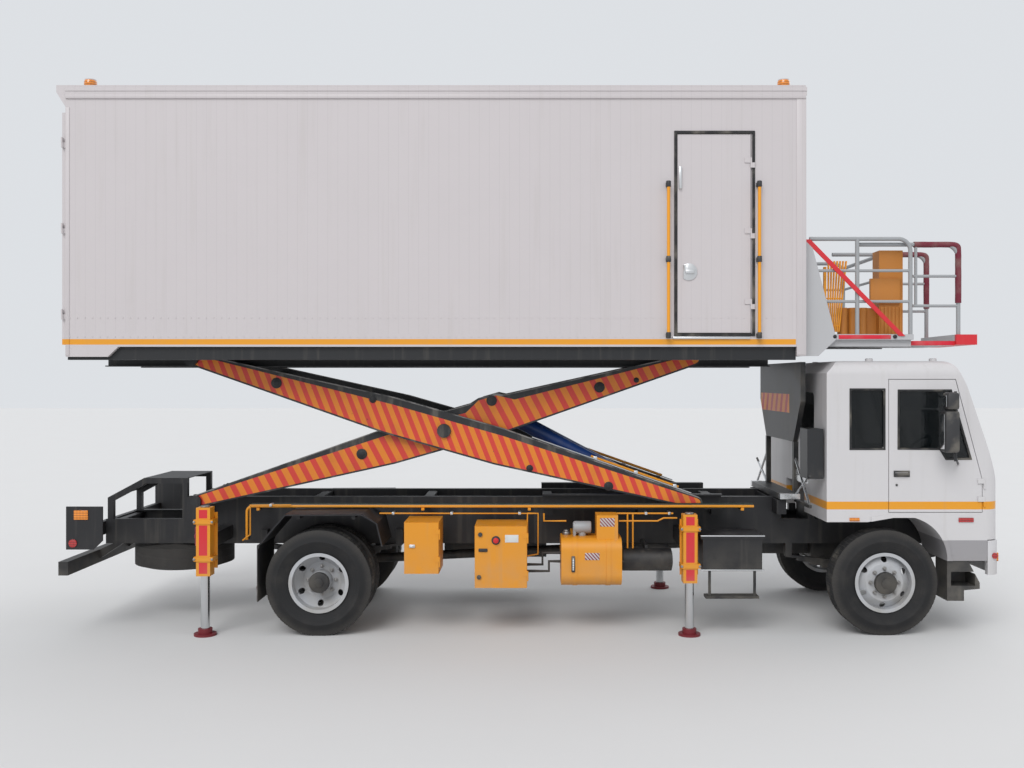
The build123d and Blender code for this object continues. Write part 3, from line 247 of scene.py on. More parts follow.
def enamel(name, colour, bands=(), film=0.5, chips=0.0, gloss=0.32, ripple=0.0004):
    """Paint with streaks, road film towards the ground, small chips and bands of other
    colours. A band is a function of the finish that gives its mask, and a colour."""
    finish = Finish(name)
    cloud = finish.noise(1.7, 4)
    streaks = finish.noise(2.2, 5, (6, 6, 0.35))
    fine = finish.noise(90, 2)
    shade = finish.mix(cloud * 0.35, colour, tuple(c * 0.86 for c in colour))
    for mask, tint in bands:
        shade = finish.mix(mask(finish), shade, tint)
    low = finish.z.ramp(FILM_TOP, FILM_FULL) * finish.noise(5, 4).ramp(0.25, 0.7)
    dirt = (streaks.ramp(0.52, 0.8) * 0.35 + low * 0.9) * film
    shade = finish.mix(dirt.least(0.9), shade, DUST)
    if chips:
        spots = (finish.cells(38) < 0.09) * finish.noise(3).ramp(0.5, 0.6)
        shade = finish.mix(spots * chips, shade, CHIP)
    rough = gloss + cloud * 0.12 + dirt * 0.5 + fine * 0.04
    finish.bump(finish.noise(7, 2) * 0.8 + fine * 0.2, ripple * 4, 0.35)
    return finish.show(shade, rough)


print("enamel ready")

# %% Colours and bands
AMBER = (0.74, 0.31, 0.015)
WHITE = (0.57, 0.53, 0.535)
CAB_WHITE = (0.60, 0.585, 0.59)
BLACK = (0.014, 0.015, 0.017)
RED = (0.60, 0.020, 0.030)
YELLOW = (0.72, 0.285, 0.013)
PLANK_LINE = (0.30, 0.28, 0.29)
CAB_GREY = (0.30, 0.29, 0.30)
LOCK_GREY = (0.36, 0.37, 0.38)
STEP_BLACK = (0.022, 0.022, 0.024)
BAND_Z = (2.900, 2.955)
BAND_END = 4.740 + REAR_AXLE
CAB_BAND_Z = (1.262, 1.340)
PLANK = 0.100
CAB_FOOT_Z = 0.955
STEP_FRONT = 6.600 + REAR_AXLE
MIRROR_ARMS_Y = 1.235
LOCK_FACE = -2.5312 + REAR_AXLE


def body_band(finish):
    return finish.z.within(*BAND_Z) * (finish.x < BAND_END)


def plank_lines(finish):
    """Faint upright lines where the wall's narrow panels meet."""
    return ((finish.x / PLANK).part() < 0.05) * (finish.z > BAND_Z[1] + 0.05) * 0.15


def cab_band(finish):
    return finish.z.within(*CAB_BAND_Z)


def cab_foot(finish):
    return finish.z < CAB_FOOT_Z


def mirror_arms(finish):
    return finish.y.size() > MIRROR_ARMS_Y


def lock_bars(finish):
    return finish.x < LOCK_FACE


def black_step(finish):
    return finish.x < STEP_FRONT


print("amber band from", BAND_Z[0], "to", BAND_Z[1], "m up")

# %% Paints on the body, the cab and the frame
van_paint = enamel("van_paint", WHITE, [(plank_lines, PLANK_LINE), (body_band, AMBER)],
                   film=0.26, ripple=0.0008)
cab_paint = enamel("cab_paint", CAB_WHITE,
                   [(cab_band, AMBER), (cab_foot, CAB_GREY), (mirror_arms, BLACK)],
                   film=0.4, gloss=0.26)
rear_door_paint = enamel("rear_door_paint", WHITE, [(body_band, AMBER), (lock_bars, LOCK_GREY)],
                         film=0.3)
bumper_paint = enamel("bumper_paint", (0.60, 0.59, 0.60), [(black_step, STEP_BLACK)],
                      film=0.5, gloss=0.34)
frame_black = enamel("frame_black", (0.010, 0.010, 0.012), film=0.35, chips=0.3, gloss=0.42)
under_black = enamel("under_black", (0.010, 0.011, 0.013), film=0.4, gloss=0.38)
yellow = enamel("yellow_enamel", YELLOW, film=0.45, chips=0.4, gloss=0.36)
amber_rail = enamel("amber_enamel", (0.82, 0.33, 0.012), film=0.3, gloss=0.3)
blue = enamel("blue_enamel", (0.010, 0.045, 0.19), film=0.4, chips=0.4, gloss=0.3)
orange_brown = enamel("orange_brown_enamel", (0.50, 0.19, 0.03), film=0.4, chips=0.4, gloss=0.4)
grey = enamel("grey_enamel", (0.33, 0.34, 0.35), film=0.4, chips=0.4, gloss=0.4)

dress(van_paint, "van_wall_left", "van_wall_right", "van_roof", "van_front_wall", "van_rear_frame",
      "van_side_door")
dress(rear_door_paint, "rear_door_left", "rear_door_right")
dress(cab_paint, "cab_shell", "cab_door_left", "cab_door_right")
dress(bumper_paint, "front_bumper")
dress(frame_black, "chassis_frame", "front_axle", "rear_axle", "engine_gearbox", "rear_mudguards",
      "subframe", "rear_bumper", "knuckle_left", "knuckle_right", "air_tanks",
      "battery_box", "fuel_tank")
dress(under_black, "van_floor")
dress(yellow, "tool_cabinets", "cabinet_door_rear", "cabinet_door_front", "hydraulic_tank")
dress(amber_rail, "van_handrails", "folded_gate")
dress(grey, "platform_rails", "extension_rails")
dress(orange_brown, "control_console")
dress(blue, "lift_barrels")

# %% [markdown]
# ## Paint with marks of its own
# Some pieces are painted in more than one colour. The stabilisers carry red tape on the outer
# face of their housings, the pipes are black and yellow, and a red strap crosses the side of
# the platform. Each mark is again a mask on where a point lies.

# %% Leg tape, pipes and the platform's marks
# station, foot and head of each housing
STABILISERS = ((-1.140, 0.600, 1.280), (3.700, 0.530, 1.210))
HOUSING_FACE = 1.2155
LOW_CLAMP = 0.170
HIGH_CLAMP = 0.140
CLAMP_HALF = 0.035
LEG_TAPE_HALF = 0.042
LEG_TAPE_ENDS = (0.025, 0.020)
THIN_PIPE_Y = 0.785
STRAP = ((4.8935, 3.955), (5.842, 2.990))
STRAP_HALF = 0.0315
STRAP_Y = -1.1095
NOSE_REAR = 6.400 + REAR_AXLE
EXT_SIDE = -1.0400
EXT_FOOT = 2.8985
DECK_GREY = (0.46, 0.46, 0.47)


def leg_tape(finish):
    """Three lengths of red tape on each housing: below, between and above its two clamps."""
    total = None
    for station, low, high in STABILISERS:
        beside = (finish.x - (station + REAR_AXLE)).size() < LEG_TAPE_HALF
        first = low + LOW_CLAMP
        second = high - HIGH_CLAMP
        lengths = (finish.z.within(low + LEG_TAPE_ENDS[0], first - CLAMP_HALF)
                   + finish.z.within(first + CLAMP_HALF, second - CLAMP_HALF)
                   + finish.z.within(second + CLAMP_HALF, high - LEG_TAPE_ENDS[1]))
        total = beside * lengths if total is None else total + beside * lengths
    return total * (finish.y.size() > HOUSING_FACE)


def thin_pipe(finish):
    return finish.y.size() > THIN_PIPE_Y


def side_strap(finish):
    """The slanting strap on the near side of the platform."""
    (top_x, top_z), (foot_x, foot_z) = STRAP
    line = (top_z - finish.z) / (top_z - foot_z) * (foot_x - top_x) + (top_x + REAR_AXLE)
    return ((finish.x - line).size() < STRAP_HALF) * (finish.y < STRAP_Y) * (finish.z > foot_z)


def nose_and_side(finish):
    side_face = (finish.y < EXT_SIDE + 0.0005) * (finish.z > EXT_FOOT)
    return (finish.x > NOSE_REAR).most(side_face)


housing_paint = enamel("housing_enamel", YELLOW, [(leg_tape, RED)], film=0.3, chips=0.3)
pipe_paint = enamel("pipe_enamel", (0.016, 0.030, 0.022), [(thin_pipe, YELLOW)], film=0.4)
deck_paint = enamel("deck_enamel", DECK_GREY, [(side_strap, RED)], film=0.3, gloss=0.4)
extension_paint = enamel("extension_enamel", DECK_GREY, [(nose_and_side, RED)], film=0.3)
dress(housing_paint, "stabiliser_housings")
dress(pipe_paint, "hydraulic_pipes")
dress(deck_paint, "platform_deck")
dress(extension_paint, "extension_deck")

# %% Stabiliser legs and headboard
LEG_FOOT_Z = 0.072
BRIGHT = (0.62, 0.63, 0.64)
FOOT_RED = (0.16, 0.012, 0.018)
leg = Finish("leg_chrome")
foot = leg.z < LEG_FOOT_Z
oil = leg.noise(40, 3)
dress(leg.show(leg.mix(foot, BRIGHT, FOOT_RED), oil * 0.08 + foot * 0.4 + 0.10, 1.0 - foot),
      "leg_rear_left", "leg_rear_right", "leg_front_left", "leg_front_right")

BOARD_FACE = 4.8825 + REAR_AXLE
BOARD_TAPE_Y = (-0.45, 0.86)
BOARD_TAPE_Z = (2.200, 2.400)
BOARD_PITCH = 0.215
BRACE_Z = (1.305, 1.745)
BRACE_BEND_Z = 1.555
BRACE_Y = (0.632, 0.875)
board = Finish("headboard_enamel")
board_face = (board.x < BOARD_FACE) * board.z.within(*BOARD_TAPE_Z)
board_tape = board_face * board.y.within(*BOARD_TAPE_Y)
board_stripe = ((board.y + board.z * 0.35) / BOARD_PITCH).part() > 0.45
brace = (board.z.within(*BRACE_Z) * (board.y.size() > BRACE_Y[0])
         * ((board.z < BRACE_BEND_Z).most(board.y.size() < BRACE_Y[1])))
board_film = board.noise(3, 5).ramp(0.45, 0.8) * 0.35
board_shade = board.mix(board_film, BLACK, DUST)
board_shade = board.mix(brace, board_shade, (0.60, 0.61, 0.62))
board_tint = board.mix(board_stripe, RED, (0.90, 0.28, 0.02))
board.bump(board.noise(90, 2), 0.0008, 0.4)
dress(board.show(board.mix(board_tape, board_shade, board_tint),
                 0.42 - brace * 0.2 + board_film * 0.3, brace * 0.9), "headboard")

# %% [markdown]
# ## Hazard tape on the lift arms
# Each arm carries a long tape of slanting stripes that warns people off a pinch point. The
# tape is a mask in the arm's own directions: the arm leans, so the station and height are
# turned by its angle first, and the stripes then run at a slant across its face.

# %% The arms and their tape
PIN_X = -1.420 + REAR_AXLE
ROLLER_X = 3.840 + REAR_AXLE
PIN_Z = 1.270
TOP_PIN_Z = 2.770
ARM_HALF = hypot(ROLLER_X - PIN_X, TOP_PIN_Z - PIN_Z) / 2
ARM_COS = (ROLLER_X - PIN_X) / 2 / ARM_HALF
ARM_SIN = (TOP_PIN_Z - PIN_Z) / 2 / ARM_HALF
ARM_MIDDLE = ((PIN_X + ROLLER_X) / 2, (PIN_Z + TOP_PIN_Z) / 2)
ARM_DEEP = 0.195
ARM_FLAT = 0.600
ARM_END = 0.065
ARM_SLOPE = (ARM_DEEP - ARM_END) / (ARM_HALF - ARM_FLAT)
OUTER_ARM_Y = 0.720
INNER_ARM_Y = 0.620
HUMP_ALONG = 0.525
HUMP_FLAT = 0.100
HUMP_TOP = 0.205
HUMP_SLOPE = 0.55
TAPE_FOOT = 0.018
TAPE_END_R = 0.045
PIN_CLEAR = 0.073
print("arms", round(2 * ARM_HALF, 3), "m between their end pins")

# %% Striped arms
TAPE_RED = (0.60, 0.045, 0.030)
TAPE_ORANGE = (0.70, 0.205, 0.015)


def arm_finish(name, falls, face_y, pitch, lean):
    """Black arm with slanting tape on its outer face and a painted highlight along its top
    edge. Falls is true where the arm drops towards the cab. The stripes have their pitch
    along the truck and lean with height."""
    sine = -ARM_SIN if falls else ARM_SIN
    finish = Finish(name)
    from_x = finish.x - ARM_MIDDLE[0]
    from_z = finish.z - ARM_MIDDLE[1]
    along = from_x * ARM_COS + from_z * sine
    across = from_z * ARM_COS - from_x * sine
    half = ARM_DEEP - (along.size() - ARM_FLAT).most(0) * ARM_SLOPE
    top = half * 0.54 + 0.012
    if not falls:
        hump = HUMP_TOP - ((along - HUMP_ALONG).size() - HUMP_FLAT).most(0) * HUMP_SLOPE
        top = top.most(hump)
    beyond = (along.size() - ARM_HALF).most(0)
    ends = (along.size() < ARM_HALF).most((beyond * beyond + across * across) < TAPE_END_R ** 2)
    pin_clear = (along * along + across * across) > PIN_CLEAR ** 2
    outer_face = finish.y.size().within(face_y - 0.002, face_y + 0.002)
    tape = (across < top) * (across > TAPE_FOOT - half) * ends * pin_clear * outer_face
    stripe = ((finish.x + finish.z * lean) / pitch).part() > 0.48
    worn = finish.noise(34, 4).ramp(0.22, 0.30)
    colour = finish.mix(stripe, TAPE_RED, TAPE_ORANGE)
    grime = finish.noise(3.2, 5).ramp(0.45, 0.85) * 0.3
    colour = finish.mix(grime, colour, (0.10, 0.035, 0.02))
    # Painted highlight: edge lightens a band along the arm's top edge, broken up by noise, where the
    # top face catches the light
    edge = (across > half - 0.010) * finish.noise(6, 3).ramp(0.35, 0.6) * 0.6
    metal = finish.mix(finish.noise(2.2, 5, (4, 4, 1)).ramp(0.5, 0.8) * 0.35, BLACK, DUST)
    # the painted highlight goes into the black metal here as pale grey
    metal = finish.mix(edge, metal, (0.34, 0.32, 0.31))
    shade = finish.mix(tape * (worn * 0.7 + 0.3), metal, colour)
    finish.bump(tape * 0.8 + finish.noise(120, 2) * 0.2, 0.0008, 0.5)
    return finish.show(shade, finish.noise(9) * 0.15 + 0.38 - tape * 0.06)


dress(arm_finish("outer_arm_tape", True, OUTER_ARM_Y, 0.109, 0.39), "outer_arms")
dress(arm_finish("inner_arm_tape", False, INNER_ARM_Y, 0.141, 0.53), "inner_arms")

# %% [markdown]
# ## Bare metal, glass and rubber
# Chrome rods are nearly mirror smooth with a thin film of oil. Cab glass is dark, because
# the cab behind it is dark, and carries a little dust. Tyres are black and grey a little
# towards the tread, with the ribs of the side wall as bump in rings round the hub.

# %% Chrome, aluminium and glass
def bright_metal(name, colour, rough, scratches):
    finish = Finish(name)
    marks = finish.noise(60, 3, scratches)
    film = finish.noise(4, 4).ramp(0.5, 0.8)
    shade = finish.mix(film * 0.5, colour, tuple(c * 0.6 for c in colour))
    finish.bump(marks, 0.0004, 0.3)
    return finish.show(shade, marks * 0.1 + film * 0.15 + rough, 1.0 - film * 0.25)


chrome = bright_metal("rod_chrome", (0.78, 0.79, 0.80), 0.08, (1, 1, 1))
aluminium = bright_metal("plain_aluminium", (0.66, 0.67, 0.68), 0.32, (1, 8, 1))
dress(chrome, "lift_rods")

glass_finish = Finish("cab_glass_dark", {"Alpha": 0.72, "IOR": 1.4})
smear = glass_finish.noise(3.0, 4, (1, 1, 0.5)).ramp(0.45, 0.75)
glass_material = glass_finish.show(
    glass_finish.mix(smear * 0.15, (0.006, 0.008, 0.009), (0.06, 0.065, 0.07)), smear * 0.12 + 0.05)
dress(glass_material, "cab_glass")

# %% Tyre rubber and rims
TYRE_R = (rear_wheel[1].z - rear_wheel[0].z) / 2
WHEELBASE = 5.650
SIDE_RINGS_A_METRE = 42
SHOULDER_BLOCKS = 96
GROOVES_A_METRE = 21


def wheel_polar(finish, axle_x):
    """Distance from a wheel's axis, and the angle round it in turns."""
    across = finish.x - axle_x
    up = finish.z - TYRE_R
    radius = (across * across + up * up).root()
    angle = up.math("ARCTAN2", up, across) / (2 * pi)
    return radius, angle


def tyre_finish(name, axle_x):
    finish = Finish(name)
    radius, angle = wheel_polar(finish, axle_x)
    dust = finish.noise(6, 5)
    scrub = radius.ramp(TYRE_R - 0.08, TYRE_R - 0.01) * 0.35
    shade = finish.mix(dust.ramp(0.4, 0.9) * 0.3 + scrub, (0.010, 0.010, 0.011), (0.075, 0.068, 0.060))
    rings = ((radius * SIDE_RINGS_A_METRE).part() > 0.82) * (radius < TYRE_R - 0.13)
    blocks = ((angle * SHOULDER_BLOCKS).part() > 0.86) * (radius > TYRE_R - 0.055)
    grooves = ((finish.y * GROOVES_A_METRE).part() > 0.84) * (radius > TYRE_R - 0.02)
    finish.bump(rings * 0.35 + finish.noise(160, 2) * 0.1 - blocks - grooves, 0.006, 0.7)
    return finish.show(shade, dust * 0.15 + 0.72 - blocks * 0.1)


dress(tyre_finish("rear_tyre_rubber", REAR_AXLE), "rear_tyres_left", "rear_tyres_right")
dress(tyre_finish("front_tyre_rubber", REAR_AXLE + WHEELBASE), "front_tyre_left", "front_tyre_right")
rim_paint = enamel("rim_enamel", (0.44, 0.45, 0.47), film=0.55, chips=0.5, gloss=0.4)
dress(rim_paint, "front_rim_left", "front_rim_right", "rear_rims_left", "rear_rims_right")
dress(tyre_finish("spare_rubber", REAR_AXLE), "spare_wheel")

# %% Cab trim
THREAD = 900
trim = Finish("cab_trim")
weave = (trim.x * THREAD).wave() * (trim.z * THREAD).wave()
trim.bump(weave + trim.noise(200, 2), 0.0006, 0.4)
dress(trim.show(trim.mix(trim.noise(5, 3), (0.05, 0.05, 0.055), (0.11, 0.11, 0.12)),
                trim.noise(8) * 0.2 + 0.6), "cab_interior")

# %% [markdown]
# ## Modelling helpers
# Every piece starts as a primitive at its place and is shaped in edit mode. These few
# helpers do what a modeller's hands do: clear the selection, add, bevel the edges, extrude an
# outline. A place is a station, a depth and a height. Stations along the truck are measured
# from the rear axle, so each helper adds the axle's own place.

# %% Select, edit, bevel and settle a piece
def clear():
    """Nothing selected."""
    bpy.ops.object.select_all(action="DESELECT")


def only(piece):
    clear()
    piece.select_set(True)
    bpy.context.view_layer.objects.active = piece


def edit(action, kind):
    """Edit mode for vertices, edges or faces, with all or none of them selected."""
    bpy.ops.object.mode_set(mode="EDIT")
    bpy.ops.mesh.select_mode(type=kind)
    bpy.ops.mesh.select_all(action=action)


def leave_edit():
    bpy.ops.object.mode_set(mode="OBJECT")


def soften(piece, width, segments=2):
    """Rounds every sharp edge, as a press or a grinder leaves it."""
    only(piece)
    edit("DESELECT", "EDGE")
    bpy.ops.mesh.edges_select_sharp(sharpness=radians(35))
    bpy.ops.mesh.bevel(offset=width, segments=segments, affect="EDGES")
    leave_edit()
    bpy.ops.object.shade_smooth_by_angle(angle=radians(40))


def settle(piece, name, material, body):
    """Puts a piece's place in its mesh, then gives it a name, a finish and a body."""
    only(piece)
    bpy.ops.object.transform_apply()
    piece.name = name
    piece.data.materials.clear()
    piece.data.materials.append(material)
    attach(piece, body)
    return piece


print("selecting, editing and settling")

# %% Blocks and drums
def about(middle, half):
    return (middle - half, middle + half)


def on_face(face, out, sunk=0.002):
    """Depths of a piece that stands out of a face on the near side and is sunk in it a little."""
    return (face - out, face + sunk)


def block(x, y, z, edge=0.004):
    """Box between two stations, depths and heights, with its edges rounded."""
    clear()
    middle = ((x[0] + x[1]) / 2 + REAR_AXLE, (y[0] + y[1]) / 2, (z[0] + z[1]) / 2)
    bpy.ops.mesh.primitive_cube_add(size=1, location=middle)
    piece = bpy.context.object
    piece.scale = (x[1] - x[0], y[1] - y[0], z[1] - z[0])
    bpy.ops.object.transform_apply()
    if edge:
        soften(piece, edge)
    return piece


TURN = {"X": (0, pi / 2, 0), "Y": (pi / 2, 0, 0), "Z": (0, 0, 0)}


def drum(centre, radius, length, axis, edge=0.004, sides=32):
    """Round piece about a station, depth and height, with its rims rounded."""
    clear()
    place = (centre[0] + REAR_AXLE, centre[1], centre[2])
    bpy.ops.mesh.primitive_cylinder_add(vertices=sides, radius=radius, depth=length,
                                        location=place, rotation=TURN[axis])
    piece = bpy.context.object
    bpy.ops.object.transform_apply()
    if edge:
        soften(piece, edge)
    return piece


print("blocks and drums")

# %% Plates and tubes
def plate(points, depth, thick, edge=0.0):
    """Flat outline of stations and heights, drawn point by point and pulled along Y."""
    clear()
    first = points[0]
    bpy.ops.mesh.primitive_plane_add(size=0.01, location=(first[0] + REAR_AXLE, depth, first[1]))
    piece = bpy.context.object
    bpy.ops.object.transform_apply()
    edit("SELECT", "VERT")
    bpy.ops.mesh.merge(type="CENTER")
    for start, end in zip(points, points[1:]):
        bpy.ops.mesh.extrude_region_move(TRANSFORM_OT_translate={
            "value": (end[0] - start[0], 0, end[1] - start[1])})
    bpy.ops.mesh.select_all(action="SELECT")
    bpy.ops.mesh.edge_face_add()
    bpy.ops.mesh.extrude_region_move(TRANSFORM_OT_translate={"value": (0, thick, 0)})
    bpy.ops.mesh.select_all(action="SELECT")
    bpy.ops.mesh.normals_make_consistent(inside=False)
    leave_edit()
    if edge:
        soften(piece, edge, 1)
    return piece


def tube(points, radius, smooth=True):
    """Round rod or pipe through points, made as a curve and turned into a mesh."""
    clear()
    curve = bpy.data.curves.new("tube", "CURVE")
    curve.dimensions = "3D"
    curve.bevel_depth = radius
    curve.bevel_resolution = 3
    curve.use_fill_caps = True
    run = curve.splines.new("NURBS" if smooth else "POLY")
    run.points.add(len(points) - 1)
    for point, place in zip(run.points, points):
        point.co = (place[0] + REAR_AXLE, place[1], place[2], 1)
    if smooth:
        run.use_endpoint_u = True
        run.order_u = 3
    piece = bpy.data.objects.new("tube", curve)
    bpy.context.collection.objects.link(piece)
    only(piece)
    bpy.ops.object.convert(target="MESH")
    bpy.ops.object.shade_smooth()
    return bpy.context.object


print("plates and tubes")

# %% Copies, joins and mirrors
def copies(piece, moves):
    """The piece and its copies, each moved by (x, y, z), joined into one mesh."""
    everyone = [piece]
    for move in moves:
        only(piece)
        bpy.ops.object.duplicate()
        bpy.ops.transform.translate(value=move)
        everyone.append(bpy.context.object)
    return join(everyone)


def join(pieces):
    clear()
    for piece in pieces:
        piece.select_set(True)
    bpy.context.view_layer.objects.active = pieces[0]
    if len(pieces) > 1:
        bpy.ops.object.join()
    bpy.ops.object.transform_apply()
    return bpy.context.object


def blocks(*rows):
    """Boxes as one piece, each from its stations, depths, heights and edge."""
    return join([block(*row) for row in rows])


def mirrored(piece):
    """The piece and its twin on the truck's other side, as one mesh."""
    only(piece)
    bpy.ops.object.duplicate()
    twin = bpy.context.object
    twin.scale = (1, -1, 1)
    bpy.ops.object.transform_apply()
    edit("SELECT", "EDGE")
    bpy.ops.mesh.normals_make_consistent(inside=False)
    leave_edit()
    return join([piece, twin])


print("copies, joins and mirrors")

# %% [markdown]
# ## Finishes for the small pieces
# Lamps are clear or coloured plastic over a ribbed reflector. Rubber seals are matt and
# pick up dust. Foam sleeves are soft, with a fine open skin. Tape is bright under its dust.

# %% Lens, rubber, foam and tape
def lens(name, colour):
    finish = Finish(name, {"Coat Weight": 1.0, "IOR": 1.49})
    ribs = (finish.z * 260).wave() * 0.5 + (finish.x * 200).wave() * 0.2
    finish.bump(ribs, 0.0015, 0.6)
    deep = tuple(c * 0.55 for c in colour)
    return finish.show(finish.mix(ribs.ramp(-0.4, 0.5), deep, colour), finish.noise(20) * 0.1 + 0.12)


def matt(name, colour, rough=0.7, grain=240, dusty=0.4):
    finish = Finish(name)
    dust = finish.noise(6, 5).ramp(0.45, 0.75) * dusty
    finish.bump(finish.noise(grain, 3), 0.0008, 0.5)
    return finish.show(finish.mix(dust, colour, DUST), finish.noise(11) * 0.15 + rough)


amber_lens = lens("amber_lens", (0.85, 0.26, 0.01))
red_lens = lens("red_lens", (0.45, 0.012, 0.012))
clear_lens = lens("clear_lens", (0.72, 0.74, 0.75))
rubber = matt("black_rubber", (0.018, 0.018, 0.019))
plastic = matt("black_plastic", (0.03, 0.03, 0.032), 0.45, 320)
foam = matt("maroon_foam", (0.16, 0.018, 0.035), 0.75, 130, 0.3)
red_tape = matt("red_tape", (0.62, 0.012, 0.035), 0.38, 60, 0.25)
red_paint = enamel("red_enamel", (0.58, 0.015, 0.02), film=0.3, chips=0.5)
dark_red = enamel("dark_red_enamel", (0.22, 0.015, 0.04), film=0.4, chips=0.4)
blank_plate = matt("blank_plate", (0.62, 0.63, 0.62), 0.4, 80, 0.3)
print("lens, rubber, plastic, foam and tape finishes")

# %% [markdown]
# ## The van's side door
# A black rubber seal frames the door, with an aluminium kick strip under it, a slim latch on
# its rear edge and a grip over a round dish. The seal is a thin block whose two broad faces
# are inset and bridged, which cuts a clean opening and leaves four mitred strips.

# %% Door seal
def open_up(piece, width):
    """Makes a thin piece a frame: its two broad faces are inset and bridged."""
    edit("DESELECT", "FACE")
    leave_edit()
    for face in piece.data.polygons:
        face.select = abs(face.normal.y) > 0.9
    bpy.ops.object.mode_set(mode="EDIT")
    bpy.ops.mesh.inset(thickness=width)
    bpy.ops.mesh.bridge_edge_loops()
    leave_edit()
    soften(piece, 0.003, 1)
    return piece


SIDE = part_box("van_side_door")
DOOR_REAR, DOOR_FRONT = (corner.x - REAR_AXLE for corner in SIDE)
DOOR_FOOT, DOOR_TOP = (corner.z for corner in SIDE)
WALL_Y = -1.250
SEAL_OUT = 0.034
SEAL_FRONT = 0.030
SEAL_WIDTH = 0.028
seal = block((DOOR_REAR - SEAL_OUT, DOOR_FRONT + SEAL_FRONT), on_face(WALL_Y, 0.012),
             (DOOR_FOOT - SEAL_OUT, DOOR_TOP + SEAL_OUT), 0)
settle(open_up(seal, SEAL_WIDTH), "side_door_seal", rubber, "van")
kick = block((DOOR_REAR - 0.05, DOOR_FRONT - 0.02), on_face(WALL_Y, 0.020),
             (DOOR_FOOT - 0.064, DOOR_FOOT - 0.040))
settle(kick, "side_door_kick_strip", aluminium, "van")
print("seal round a door", round(DOOR_FRONT - DOOR_REAR, 2), "m wide")

# %% Door latch and handle
HANDLE_Z = 3.62
DISH_CUT = 0.055
slim = block((DOOR_REAR + 0.012, DOOR_REAR + 0.040), on_face(WALL_Y, 0.026, 0.001), (4.44, 4.66), 0.006)
dish = drum((DOOR_REAR + 0.11, WALL_Y - 0.004, HANDLE_Z), 0.085, 0.012, "Y", 0.003)
only(dish)
edit("SELECT", "FACE")
bpy.ops.mesh.bisect(plane_co=(DOOR_REAR + DISH_CUT + REAR_AXLE, 0, 0), plane_no=(1, 0, 0),
                    use_fill=True, clear_inner=True)
leave_edit()
grip = block((DOOR_REAR + 0.075, DOOR_REAR + 0.165), (WALL_Y - 0.030, WALL_Y - 0.008),
             about(HANDLE_Z, 0.02), 0.006)
settle(join([slim, dish, grip]), "side_door_latches", aluminium, "side_door")
print("latch, dish and grip")

# %% [markdown]
# ## Seams, rivets and rails of the van body
# The body is riveted sheet. Two rows of rivets follow its lower seams, and trims cover its
# edges. One rivet is a low drum with few sides, and an Array modifier repeats it.

# %% Rivets and edge trims
def row(piece, count, step):
    """Repeats a piece along a step with an Array modifier, applied."""
    only(piece)
    array = piece.modifiers.new("row", "ARRAY")
    array.count = count
    array.use_relative_offset = False
    array.use_constant_offset = True
    array.constant_offset_displace = step
    bpy.ops.object.modifier_apply(modifier=array.name)
    return piece


WALL_REAR = -2.49
WALL_FRONT = 4.75
RIVET_STEP = 0.075
RIVET_INSET = 0.04
rivet_count = int((WALL_FRONT - WALL_REAR - 0.06) / RIVET_STEP)
rows = []
for height, radius in ((3.165, 0.007), (2.977, 0.006)):
    rivet = drum((WALL_REAR + RIVET_INSET, WALL_Y - 0.001, height), radius, 0.006, "Y", 0, 8)
    rows.append(row(rivet, rivet_count, (RIVET_STEP, 0, 0)))
settle(mirrored(join(rows)), "wall_rivets", van_paint, "van")

# stations, depths, heights and edge of each trim
EDGE_TRIMS = (
    ((4.748, 4.842), (-1.256, -1.245), (2.80, 5.36), 0.003),
    ((-2.492, -2.452), (-1.256, -1.245), (2.79, 5.25), 0.003),
    ((WALL_REAR, 4.84), (-1.266, -1.245), (5.335, 5.375), 0.005),
)
settle(mirrored(blocks(*EDGE_TRIMS)), "body_edge_trims", van_paint, "van")
print(rivet_count * 4, "rivets along the seams")

# %% Handrail clamps and beacons
HANDRAIL_Y = -1.315
clamps = []
for station in (3.470, 4.365):
    for height in (2.990, 3.740, 4.480):
        clamps.append(drum((station, HANDRAIL_Y, height), 0.024, 0.060, "Z", 0.006, 24))
        clamps.append(block(about(station, 0.020), (-1.300, -1.249), about(height, 0.022)))
settle(join(clamps), "handrail_clamps", plastic, "van")

BEACON_PLACE = (-2.300, -1.120)
BEACONS_APART = 6.95
# name, height, radius, length, edge, finish and slot
BEACON_PARTS = (
    ("roof_beacons", 5.513, 0.062, 0.088, 0.022, amber_lens, "orange_tape"),
    ("beacon_collars", 5.478, 0.070, 0.020, 0.004, plastic, "trim"),
)
for name, height, radius, length, edge, finish, slot in BEACON_PARTS:
    part = drum((*BEACON_PLACE, height), radius, length, "Z", edge, 40)
    settle(mirrored(copies(part, [(BEACONS_APART, 0, 0)])), name, finish, "van")
print("clamps and beacons")

# %% [markdown]
# ## Wheels
# What tells a truck wheel from a disc is its ring of studs and nuts and its hub cap. One nut
# is a six-sided drum on a washer, with a stud through it, copied round the hub.

# %% Wheel nuts and hub caps
def ring_of(piece, count, centre_x):
    """Copies of a piece turned about a wheel's axis."""
    everyone = [piece]
    for turn in range(1, count):
        only(piece)
        bpy.ops.object.duplicate()
        bpy.ops.transform.rotate(value=2 * pi * turn / count, orient_axis="Y",
                                 center_override=(centre_x, 0, TYRE_R))
        everyone.append(bpy.context.object)
    return join(everyone)


NUTS = 8
NUT_CIRCLE = 0.140
# nut, washer and stud: how far out of the disc, radius, length, edge and sides
NUT_PARTS = (
    (0.014, 0.016, 0.026, 0.003, 6),
    (0.003, 0.022, 0.006, 0.001, 16),
    (0.033, 0.009, 0.020, 0.002, 12),
)


